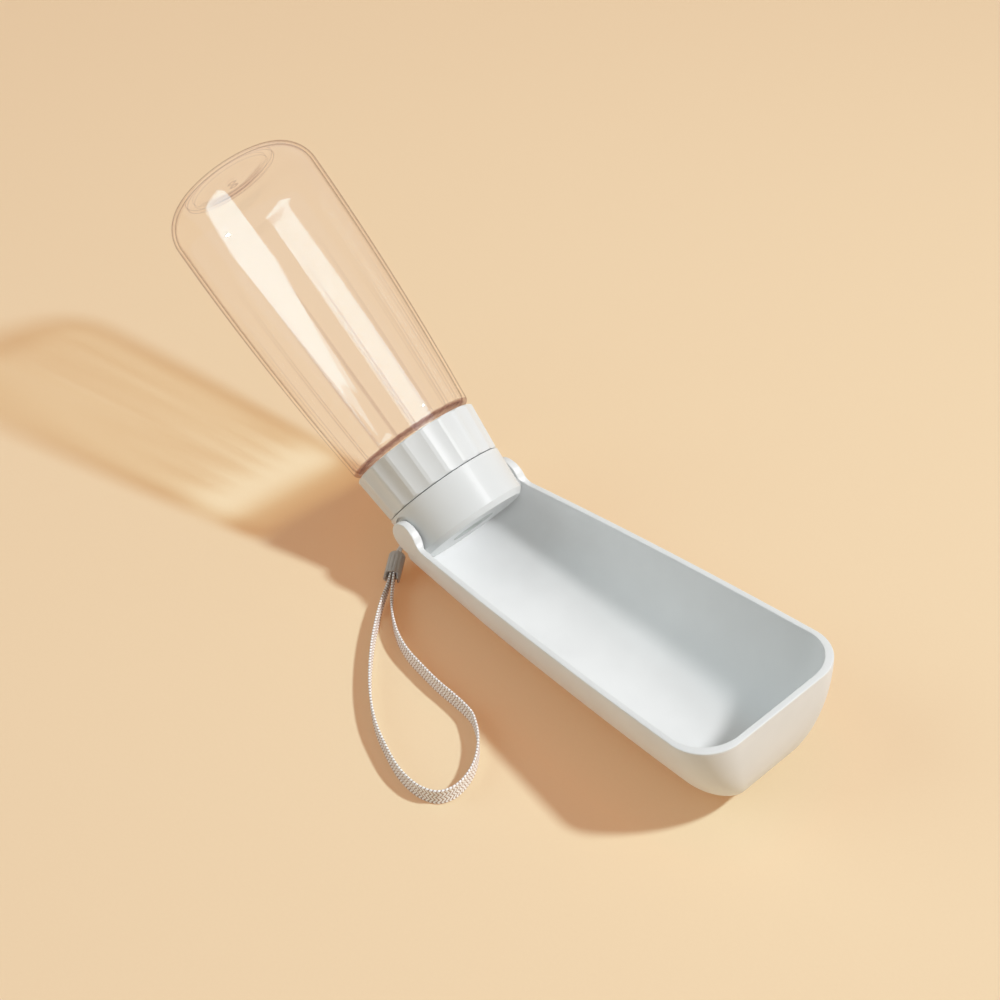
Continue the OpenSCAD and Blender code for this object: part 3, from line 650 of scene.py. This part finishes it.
sleeve_points = []
for radius, station in sleeve_profile():
    ribbed = GROOVES_FROM < station < sleeve_length - GROOVES_STOP_SHORT and radius == SLEEVE_RADIUS
    near_mouth = max(0.0, (station - sleeve_length + NOTCH_RUN) / NOTCH_RUN)
    for angle in np.linspace(0, 2 * math.pi, SLEEVE_SIDES, endpoint=False):
        groove = (0.5 + 0.5 * math.cos(SLEEVE_GROOVES * angle)) ** GROOVE_SHARPNESS
        open_share = min(1.0, max(0.0, (abs(math.sin(angle)) - NOTCH_AT) / NOTCH_RAMP))
        r = radius - (GROOVE_DEPTH * groove if ribbed else 0)
        sleeve_points.append(in_sleeve(station - NOTCH * open_share * near_mouth,
                                       r * math.cos(angle), r * math.sin(angle)))
sleeve = mesh_piece("strap_sleeve_ribbed", sleeve_points,
                    grid_faces(len(sleeve_profile()), SLEEVE_SIDES, closed_rows=True), sharp=SHARP_EDGE)
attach(sleeve, "trough")
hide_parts("strap_sleeve")
print("sleeve mesh:", len(sleeve.data.polygons), "faces")

# %% [markdown]
# The cord and the tape both leave the crimp in the sleeve and go back into it. Here we print, in
# metres, where the cord leaves.


def in_metres(line):
    return [tuple(HINGE + Vector(p) * MM) for p in line]


print("cord leaves at", [round(v, 4) for v in in_metres(cord_line)[0]])

# %% [markdown]
# The bottle is one thick clear wall with about twenty shallow flutes that start at the shoulder and
# fade out towards the base. We revolve its profile and push each point of the outside in or out by a
# wave round the axis, scaled by how near the shoulder it lies. A clear wall shows both of its skins,
# so the profile runs up the outside, over the base, and back down the inside.

# %% The bottle
FLUTES = 20
SIDE_START, SIDE_END = 41.4, 175.8
BOTTLE_RADIUS_LOW, BOTTLE_RADIUS_BASE, BOTTLE_BOW = 32.5, 39.6, 1.6
BASE_ROUND, SHOULDER_ROUND = 15.8, 3.0
BOTTLE_REACH, PUSH_UP, BOTTLE_WALL = 191.6, 2.6, 1.6
NECK_RADIUS, SPIGOT_RADIUS, NECK_WALL = 25.6, 23.4, 2.0
SPIGOT_START, SPIGOT_END, SHOULDER_STATION = 13.5, 22.6, 38.4
FLUTE_DEPTH, FLUTE_FADE, FLUTE_RISE, FADE_POWER, FLUTE_ROUNDNESS = 0.5, 120.0, 3, 1.2, 0.7
PUSH_UP_RUN, RING_STEP, RING_RUN, PUSH_UP_STEPS = 16.0, 0.1, 0.3, 16
GATE_RADIUS, BOTTLE_SIDES = 4, 240
base_centre = BOTTLE_RADIUS_BASE - BASE_ROUND


def side_radius(station):
    t = (station - SIDE_START) / (SIDE_END - SIDE_START)
    return BOTTLE_RADIUS_LOW + (BOTTLE_RADIUS_BASE - BOTTLE_RADIUS_LOW) * t + BOTTLE_BOW * 4 * t * (1 - t)


def arc(centre_radius, centre_station, radius, first, last, steps):
    """Points (radius, station) on an arc, with angles in degrees from straight out."""
    return [(centre_radius + radius * math.cos(a), centre_station + radius * math.sin(a))
            for a in np.radians(np.linspace(first, last, steps + 1))]


def push_up_curve(radius, station):
    """A fine step at the base ring, then a soft dish down to the flat middle of the base."""
    curve = [(radius, station)]
    for t in np.linspace(0, 1, PUSH_UP_STEPS + 1):
        sunk = (PUSH_UP - RING_STEP) * (0.5 - 0.5 * math.cos(math.pi * t))
        curve.append((radius - RING_RUN - PUSH_UP_RUN * t, station - RING_STEP - sunk))
    return curve


# The last numbers of an arc are its two angles and its steps. Inside, offsets of up to a millimetre
# round the corners of the wall.
outside = ([(SPIGOT_RADIUS, SPIGOT_START), (SPIGOT_RADIUS, SPIGOT_END), (NECK_RADIUS, SPIGOT_END),
            (NECK_RADIUS, SHOULDER_STATION - 0.3)]
           + arc(BOTTLE_RADIUS_LOW - SHOULDER_ROUND, SIDE_START, SHOULDER_ROUND, -90, -10, 8)
           + [(side_radius(s), s) for s in np.linspace(SIDE_START, SIDE_END, 60)]
           + arc(base_centre, SIDE_END, BASE_ROUND, 6, 90, 22)[:-1]
           + push_up_curve(base_centre, BOTTLE_REACH)
           + [(GATE_RADIUS, BOTTLE_REACH - PUSH_UP), (0, BOTTLE_REACH - PUSH_UP)])
inner_reach = BOTTLE_REACH - BOTTLE_WALL
inside = ([(0, inner_reach - PUSH_UP), (GATE_RADIUS, inner_reach - PUSH_UP)]
          + push_up_curve(base_centre - 0.4, inner_reach)[::-1]
          + arc(base_centre, SIDE_END, BASE_ROUND - BOTTLE_WALL, 86, 4, 20)
          + [(side_radius(s) - BOTTLE_WALL, s) for s in np.linspace(SIDE_END, SIDE_START + 1, 40)]
          + arc(BOTTLE_RADIUS_LOW - SHOULDER_ROUND - 1, SIDE_START + 0.6, SHOULDER_ROUND - 0.8, -5, -88, 6)
          + [(SPIGOT_RADIUS - NECK_WALL + 0.6, SHOULDER_STATION + 0.9),
             (SPIGOT_RADIUS - NECK_WALL, SHOULDER_STATION), (SPIGOT_RADIUS - NECK_WALL, SPIGOT_START)])


def revolve(name, profile, sides, push, gap):
    """Turns (radius, station) pairs round the bottle's axis, with no faces after row number gap."""
    points = []
    for k, (radius, station) in enumerate(profile):
        for angle in 2 * math.pi * np.arange(sides) / sides:
            points.append(on_bottle(station, radius + push(k, angle), angle))
    faces = [face for face in grid_faces(len(profile), sides, closed_rows=True) if face[0] // sides != gap]
    return mesh_piece(name, points, faces)


def flute_push(k, angle):
    """Depth of a flute on the outside of the side wall, none elsewhere."""
    if k >= len(outside):
        return 0.0
    station = outside[k][1]
    past_start = station - SIDE_START + 2
    if past_start <= 0 or station >= SIDE_END:
        return 0.0
    fade = max(0.0, 1 - (station - SIDE_START) / FLUTE_FADE) ** FADE_POWER
    rise = min(1.0, past_start / FLUTE_RISE)
    return -FLUTE_DEPTH * fade * rise * (0.5 - 0.5 * math.cos(FLUTES * angle)) ** FLUTE_ROUNDNESS


bottle = revolve("bottle_clear", outside + inside, BOTTLE_SIDES, flute_push, gap=len(outside) - 1)
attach(bottle, "bottle")
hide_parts("bottle")
print("bottle mesh:", len(bottle.data.vertices), "points")

# %% [markdown]
# A wall this thin hardly shifts what lies behind it, and a refracting shader draws black bands where
# two skins meet. So each skin is a Transparent shader under a thin gloss that grows where it is seen
# edge on. The tint of a point depends on where it lies, so we first find its station along the axis
# and its angle round it. A noise drawn out along the axis gives streaks and uneven lines.

# %% Places on the clear wall
ROUND_STRETCH, ALONG_STRETCH = 10.0, 4.0

clear_plastic, tree = new_material("clear_plastic")


def dot(tree, vector, direction):
    """How far a vector reaches along a fixed direction."""
    return node(tree, "ShaderNodeVectorMath", {"operation": "DOT_PRODUCT"},
                {0: vector, 1: tuple(direction)}, output="Value")


def transparent(tree, colour):
    return node(tree, "ShaderNodeBsdfTransparent", inputs={"Color": colour})


def blend_shader(tree, share, first, second):
    """Mixes two shaders. The node's names repeat, so its sockets go by number."""
    return node(tree, "ShaderNodeMixShader", inputs={0: share, 1: first, 2: second})


from_axis = node(tree, "ShaderNodeVectorMath", {"operation": "SUBTRACT"},
                 {0: place_in_object(tree), 1: tuple(HINGE)})
station = dot(tree, from_axis, ALONG)
station_mm = station / MM
out_part, side_part = dot(tree, from_axis, OUTWARD), dot(tree, from_axis, SIDEWAYS)
round_angle = node(tree, "ShaderNodeMath", {"operation": "ARCTAN2"}, {0: side_part, 1: out_part})
streak_place = node(tree, "ShaderNodeCombineXYZ", inputs={
    "X": round_angle * ROUND_STRETCH, "Y": station * ALONG_STRETCH, "Z": 0.0})
facing = node(tree, "ShaderNodeLayerWeight", inputs={"Blend": 0.5}, output="Facing")
print("the clear wall knows its places")

# %% [markdown]
# Shadow rays, and rays that have bounced off a dull surface, meet a pair of tints of their own. The
# thick shoulder casts a dark shadow, a pale patch follows where its flutes gather the light, and fine
# streaks run on to the base. A wall seen edge on by the lamp casts the dark rim of the shadow.

# %% The shadow of the clear wall
SHADOW_PALE, SHADOW_DARK = (1.05, 1.06, 1.06, 1), (0.7, 0.59, 0.43, 1)
COLLAR_PART, SHOULDER_PART, PAST_PATCH = (41, 51), (47, 58), (62, 84)
COLLAR_DARK, SHOULDER_DARK, PAST_DARK, RIM_DARK = 0.15, 0.55, 0.24, 0.4
STREAK_SCALE, STREAK_CONTRAST, RIM_FACING = 2.2, 2.6, (0.25, 0.8)

streaks = noise(tree, streak_place, STREAK_SCALE, 2.0)
at_collar = 1 - station_mm.within(*COLLAR_PART)
at_shoulder = 1 - station_mm.within(*SHOULDER_PART)
past_patch = station_mm.within(*PAST_PATCH)
dark_share = (at_collar * COLLAR_DARK + at_shoulder * SHOULDER_DARK
              + past_patch * (PAST_DARK + (streaks - 0.5) * STREAK_CONTRAST)
              + facing.within(*RIM_FACING) * RIM_DARK)
cast = blend_shader(tree, dark_share, transparent(tree, SHADOW_PALE), transparent(tree, SHADOW_DARK))
print("shadow tints:", SHADOW_PALE[:3], SHADOW_DARK[:3])

# %% [markdown]
# To the camera the wall turns mauve where it is seen edge on. It does so too on the crests between
# flutes, on the rings and the gate mark of the base, and in an uneven line at the collar, because the
# real plastic is thickest there.

# %% The clear wall as it is seen
CLEAR_TINT, EDGE_TINT = (0.998, 0.992, 0.99, 1), (0.56, 0.41, 0.42, 1)
HEAD_ON_GLOSS, EDGE_GLOSS, GLOSS_ROUGHNESS = 0.036, 0.55, 0.03
EDGE_ON, CREST_SHARPNESS, CREST_FADE = (0.72, 0.97), 60, (60, 150)
CREST_TINT, LINE_TINT, WOBBLE_SCALE = 0.22, 0.8, 0.9
LINE_START, LINE_STOP = (38.7, 39.1), (40.1, 40.8)
BASE_RINGS = ((24.4, 0.5, 0.4), (20.6, 0.4, 0.25), (1.6, 1.2, 0.5))
RING_SOFTNESS, BASE_PART, FACING_POWER = 0.6, (BOTTLE_REACH - 6, BOTTLE_REACH - 5), 5

crest = (round_angle * FLUTES + math.pi / 2).wave() * 0.5 + 0.5
ridge = crest ** CREST_SHARPNESS * (1 - station_mm.within(*CREST_FADE))
line_place = station_mm + noise(tree, streak_place, WOBBLE_SCALE, 3.0)
shoulder_line = line_place.within(*LINE_START) * (1 - line_place.within(*LINE_STOP))
from_middle = (out_part * out_part + side_part * side_part) ** 0.5 / MM
on_base = station_mm.within(*BASE_PART)

tint_share = facing.within(*EDGE_ON) + ridge * CREST_TINT + shoulder_line * LINE_TINT
for radius, width, share in BASE_RINGS:
    ring_line = (1 - (from_middle - radius).size() / width).within(0, RING_SOFTNESS) * on_base
    tint_share = tint_share + ring_line * share
through = blend_shader(tree, tint_share, transparent(tree, CLEAR_TINT), transparent(tree, EDGE_TINT))
gloss = node(tree, "ShaderNodeBsdfAnisotropic", inputs={
    "Color": (1, 1, 1, 1), "Roughness": GLOSS_ROUGHNESS})
seen = blend_shader(tree, facing ** FACING_POWER * EDGE_GLOSS + HEAD_ON_GLOSS, through, gloss)
casts = ray_is(tree, "Shadow") + ray_is(tree, "Diffuse")
finish_material(tree, blend_shader(tree, casts, seen, cast))
bottle.data.materials.append(clear_plastic)
print("clear plastic has", len(tree.nodes), "nodes")

# %% [markdown]
# Moulded plastic is never one flat colour. Under a lens it has a fine spark-eroded grain, and its
# gloss drifts a little over a hand's width. One function gives both, and each shell gets its own
# colour, gloss and grain.

# %% Moulded plastic
CLOUD_SCALE, CLOUD_DRIFT, GLOSS_DRIFT, GRAIN_GLOSS, GRAIN_STRENGTH = 35.0, 0.02, 0.08, 0.05, 0.35


def moulded(name, colour, roughness, grain_mm, grain_depth_mm, shine=0.5):
    """Plastic with fine grain in its normal and a slow drift in colour and gloss."""
    made, tree = new_material(name)
    place = place_in_object(tree)
    grain = noise(tree, place, 1 / (grain_mm * MM), 3)
    cloud = noise(tree, place, CLOUD_SCALE, 2)
    tone = blend_colour(tree, cloud.within(0.3, 0.7),
                        shade(colour, 1 - CLOUD_DRIFT), shade(colour, 1 + CLOUD_DRIFT))
    finish_solid(tree, {
        "Base Color": tone, "Specular IOR Level": shine,
        "Roughness": roughness + (cloud - 0.5) * GLOSS_DRIFT + (grain - 0.5) * GRAIN_GLOSS,
        "Normal": relief(tree, grain, GRAIN_STRENGTH, grain_depth_mm)})
    return made


trough_plastic = moulded("trough_plastic", (0.765, 0.775, 0.773), 0.42, 0.35, 0.01)
head_plastic = moulded("head_plastic", (0.735, 0.75, 0.75), 0.32, 0.3, 0.004, shine=0.1)
inner_plastic = moulded("inner_plastic", (0.6, 0.62, 0.63), 0.4, 0.4, 0.01)
# The outlet plate's dark grey is painted shade: it stands in for the shade that falls on it under the head.
plate_plastic_painted_shade = moulded("plate_plastic_painted_shade", (0.45, 0.475, 0.46), 0.4, 0.4, 0.01)
bush_plastic = moulded("bush_plastic", (0.72, 0.71, 0.66), 0.4, 0.4, 0.01)
seal_rubber = moulded("seal_rubber", (0.035, 0.035, 0.037), 0.6, 0.25, 0.01)
gasket_silicone = moulded("gasket_silicone", (0.62, 0.56, 0.52), 0.5, 0.25, 0.01)
sleeve_rubber = moulded("sleeve_rubber", (0.48, 0.445, 0.41), 0.55, 0.25, 0.02)
print("moulded finishes: 8")

# %% [markdown]
# The pins, screws and crimp are turned steel. Fine rings run round a turned part, so the noise is
# stretched along them.

# %% Turned steel
STEEL_DARK, STEEL_LIGHT = (0.56, 0.56, 0.57, 1), (0.66, 0.66, 0.67, 1)
RING_STRETCH, SCRATCH_SCALE = (1.0, 12.0, 1.0), 900.0
STEEL_ROUGHNESS, SCRATCH_SHARE, SCRATCH_DEPTH = 0.22, 0.2, 0.02

pin_steel, tree = new_material("pin_steel")
lay = node(tree, "ShaderNodeVectorMath", {"operation": "MULTIPLY"},
           {0: place_in_object(tree), 1: RING_STRETCH})
scratch = noise(tree, lay, SCRATCH_SCALE, 4)
finish_solid(tree, {
    "Base Color": blend_colour(tree, scratch, STEEL_DARK, STEEL_LIGHT),
    "Metallic": 1.0, "Roughness": STEEL_ROUGHNESS + scratch * SCRATCH_SHARE,
    "Normal": relief(tree, scratch, SCRATCH_SHARE, SCRATCH_DEPTH)})
print("steel has", len(tree.nodes), "nodes")

# %% [markdown]
# The tape is woven in a herringbone of white yarn over a darker ground. Its coordinates run along and
# across the tape in metres, so the weave keeps its real size round every bend: slanted ribs that turn
# back at the middle and at the edge of each lane. The cord is braided of two strands that cross.

# %% Woven tape and braided cord
RIB_PITCH, LANE_WIDTH, RIB_SLANT, BRAID_PITCH = 1.7, 3.4, 0.8, 0.9
YARN_WHITE, YARN_GROUND = (0.95, 0.94, 0.93, 1), (0.42, 0.27, 0.19, 1)
BRAID_WHITE, BRAID_GROUND = (0.93, 0.92, 0.91, 1), (0.55, 0.5, 0.46, 1)
YARN_SHEEN, YARN_ROUGHNESS, YARN_POLISH, BRAID_ROUGHNESS = 0.3, 0.75, 0.2, 0.7
RIB_AT_TURN, RIB_BETWEEN, INNER_TURN, OUTER_TURN = 0.35, 0.65, (0.0, 0.45), (0.7, 1.0)
YARN_EDGE, WEAVE_RELIEF, BRAID_RELIEF = (0.1, 0.3), (0.8, 0.2), (0.7, 0.15)


def along_and_across(tree):
    """The coordinates that the sweep gave a strap, in metres along its route and across it."""
    place = node(tree, "ShaderNodeTexCoord", output="UV")
    return [node(tree, "ShaderNodeSeparateXYZ", inputs={"Vector": place}, output=axis) for axis in "XY"]


tape_weave, tree = new_material("tape_weave")
run, across = along_and_across(tree)
lane = (across / (LANE_WIDTH * MM)).part()
zigzag = (lane - 0.5).size() * 2
ribs = ((run / (RIB_PITCH * MM) + zigzag * RIB_SLANT) * 2 * math.pi).wave() * 0.5 + 0.5
between_turns = zigzag.within(*INNER_TURN) * (1 - zigzag.within(*OUTER_TURN))
yarn = ribs * (RIB_AT_TURN + RIB_BETWEEN * between_turns)
finish_solid(tree, {
    "Base Color": blend_colour(tree, yarn.within(*YARN_EDGE), YARN_GROUND, YARN_WHITE),
    "Roughness": YARN_ROUGHNESS - yarn * YARN_POLISH, "Sheen Weight": YARN_SHEEN,
    "Normal": relief(tree, yarn, *WEAVE_RELIEF)})
strap_tape.data.materials.append(tape_weave)

cord_braid, tree = new_material("cord_braid")
run, across = along_and_across(tree)
left_hand = ((run / (BRAID_PITCH * MM) + across / (BRAID_PITCH * MM)) * 2 * math.pi).wave()
right_hand = ((run / (BRAID_PITCH * MM) - across / (BRAID_PITCH * MM)) * 2 * math.pi).wave()
braid = (left_hand + right_hand) * 0.25 + 0.5
finish_solid(tree, {
    "Base Color": blend_colour(tree, braid, BRAID_GROUND, BRAID_WHITE),
    "Roughness": BRAID_ROUGHNESS, "Sheen Weight": YARN_SHEEN,
    "Normal": relief(tree, braid, *BRAID_RELIEF)})
strap_cord.data.materials.append(cord_braid)
print("weave pitch", RIB_PITCH, "mm, braid pitch", BRAID_PITCH, "mm")

# %% [markdown]
# The other solids have the right shape already. We give each one its finish and shade it smoothly
# up to a sharp edge.

# %% Finish the solids that stay
for piece, finish in ((trough, trough_plastic), (sleeve, sleeve_rubber)):
    piece.data.materials.append(finish)

FINISHES = (
    (head_plastic, ("head_shell", "collar")),
    (plate_plastic_painted_shade, ("outlet_plate",)),
    (inner_plastic, ("valve_chamber", "stem_guide", "neck_socket", "valve_plug", "collar_liner")),
    (bush_plastic, ("hinge_bush_near", "hinge_bush_far", "retaining_ring")),
    (seal_rubber, ("hinge_washer_near", "hinge_washer_far", "socket_oring", "valve_seal")),
    (gasket_silicone, ("neck_gasket",)),
    (pin_steel, ("hinge_pin_near", "hinge_pin_far", "socket_screws", "strap_crimp")))
SHARP_ANGLE, FLUTED_ANGLE = math.radians(28), math.radians(60)

for finish, solids in FINISHES:
    for solid in solids:
        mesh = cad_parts[solid].data
        mesh.materials.clear()
        mesh.materials.append(finish)
        mesh.shade_smooth()
        mesh.set_sharp_from_angle(angle=FLUTED_ANGLE if solid == "collar" else SHARP_ANGLE)
    print(finish.name, "on", len(solids), "solids")

# %% [markdown]
# The floor is a wide round sheet of peach card. In the photograph its shadows are a deeper peach, not
# grey, because light that has bounced about the warm set fills them. A little peach emission on the
# card gives them that colour, and the lamps then add a neutral share. Such light hardly gets under
# the trough, so ambient occlusion takes part of it away close to what stands on the card.

# %% The floor
CARD_COLOUR, CARD_GLOW = (0.566, 0.592, 0.425, 1), (0.3, 0.06, 0.0, 1)
FLOOR_RADIUS, FLOOR_SIDES = 2.2, 128
GLOW_REACH, GLOW_LEFT = 0.03, 0.6
FIBRE_SCALE, FIBRE_DRIFT, FIBRE_RELIEF = 700.0, 0.015, (0.15, 0.1)
CARD_ROUGHNESS, CARD_SHINE = 0.9, 0.1

mesh = bpy.data.meshes.new("floor")
turns = np.linspace(0, 2 * math.pi, FLOOR_SIDES, endpoint=False)
mesh.from_pydata([(FLOOR_RADIUS * math.cos(a), FLOOR_RADIUS * math.sin(a), 0) for a in turns], [],
                 [tuple(range(FLOOR_SIDES))])
floor = bpy.data.objects.new("floor", mesh)
bpy.context.scene.collection.objects.link(floor)
card, tree = new_material("peach_card")
fibre = noise(tree, place_in_object(tree), FIBRE_SCALE, 3)
openness = node(tree, "ShaderNodeAmbientOcclusion", {"samples": 4}, {"Distance": GLOW_REACH}, output="AO")
finish_solid(tree, {
    "Base Color": blend_colour(tree, fibre, shade(CARD_COLOUR, 1 - FIBRE_DRIFT),
                               shade(CARD_COLOUR, 1 + FIBRE_DRIFT)),
    "Roughness": CARD_ROUGHNESS, "Specular IOR Level": CARD_SHINE, "Emission Strength": 1.0,
    "Emission Color": blend_colour(tree, openness, shade(CARD_GLOW, GLOW_LEFT), CARD_GLOW),
    "Normal": relief(tree, fibre, *FIBRE_RELIEF)})
mesh.materials.append(card)
print("floor is", 2 * FLOOR_RADIUS, "m wide")

# %% [markdown]
# One key lamp stands high on the right and makes the long shadow. A wide, weak lamp on the left and
# an even sky fill it, and together they light a white surface to about full white and no more. Key
# and fill keep their strength at any distance, so that the card is lit as evenly as in the
# photograph. Shiny plastic mirrors the bright set, so only mirrored rays see a brighter, warmer sky,
# and the camera sees a backdrop of the card's own colour.
# A softbox in front of the strap side draws the two pale bands down the bottle: only its reflection
# is wanted, so dull surfaces don't see it.

# %% The lamps
KEY_PLACE, KEY_SIZE, KEY_STRENGTH, KEY_COLOUR = (766, 510, 1016), 0.12, 8.3, (0.98, 0.985, 1.0)
FILL_PLACE, FILL_SIZE, FILL_STRENGTH, FILL_COLOUR = (-1900, -2100, 1750), 2.7, 2.3, (0.85, 0.97, 1.0)
SOFTBOX_PLACE, SOFTBOX_AIM = (-60, -720, 500), (-90, 0, 60)
SOFTBOX_WIDTH, SOFTBOX_HEIGHT, SOFTBOX_POWER, SOFTBOX_COLOUR = 0.42, 0.62, 4.0, (0.5, 0.82, 1.0)
SKY_COLOUR, SET_COLOUR = (0.28, 0.274, 0.252, 1), (0.85, 0.74, 0.7, 1)
BACKDROP_COLOUR = (0.84, 0.64, 0.43, 1)


def lamp(name, place, aim, size, colour, watts=1.0, height=None):
    """An area lamp that looks at a point: a disc, or a rectangle if it has a height."""
    light = bpy.data.lights.new(name, "AREA")
    light.shape, light.size, light.energy, light.color = "DISK", size, watts, colour
    if height:
        light.shape, light.size_y = "RECTANGLE", height
    made = bpy.data.objects.new(name, light)
    made.location = place
    made.rotation_euler = (Vector(aim) - Vector(place)).to_track_quat("-Z", "Y").to_euler()
    made.visible_camera = False
    bpy.context.scene.collection.objects.link(made)
    return made


def keep_strength(made, strength):
    """Lets a lamp keep its strength at any distance."""
    made.data.use_nodes = True
    tree = made.data.node_tree
    falloff = node(tree, "ShaderNodeLightFalloff", inputs={"Strength": strength}, output="Constant")
    tree.links.new(falloff.socket, tree.nodes["Emission"].inputs["Strength"])


key = lamp("key", from_hinge(*KEY_PLACE), HINGE, KEY_SIZE, KEY_COLOUR)
fill = lamp("fill", from_hinge(*FILL_PLACE), HINGE, FILL_SIZE, FILL_COLOUR)
fill.visible_glossy = fill.visible_transmission = False
keep_strength(key, KEY_STRENGTH)
keep_strength(fill, FILL_STRENGTH)
softbox = lamp("softbox", from_hinge(*SOFTBOX_PLACE), from_hinge(*SOFTBOX_AIM), SOFTBOX_WIDTH,
               SOFTBOX_COLOUR, SOFTBOX_POWER, SOFTBOX_HEIGHT)
softbox.visible_diffuse = False
world = bpy.data.worlds.new("studio")
world.use_nodes = True
bpy.context.scene.world = world
tree = world.node_tree
seen_sky = blend_colour(tree, ray_is(tree, "Camera"), SKY_COLOUR, BACKDROP_COLOUR)
mirrored_ray = ray_is(tree, "Glossy") + ray_is(tree, "Transmission")
surroundings = blend_colour(tree, mirrored_ray, seen_sky, SET_COLOUR)
tree.links.new(surroundings.socket, tree.nodes["Background"].inputs["Color"])
bpy.context.scene.view_settings.view_transform = "Standard"
print("lamps:", key.name, fill.name, softbox.name)
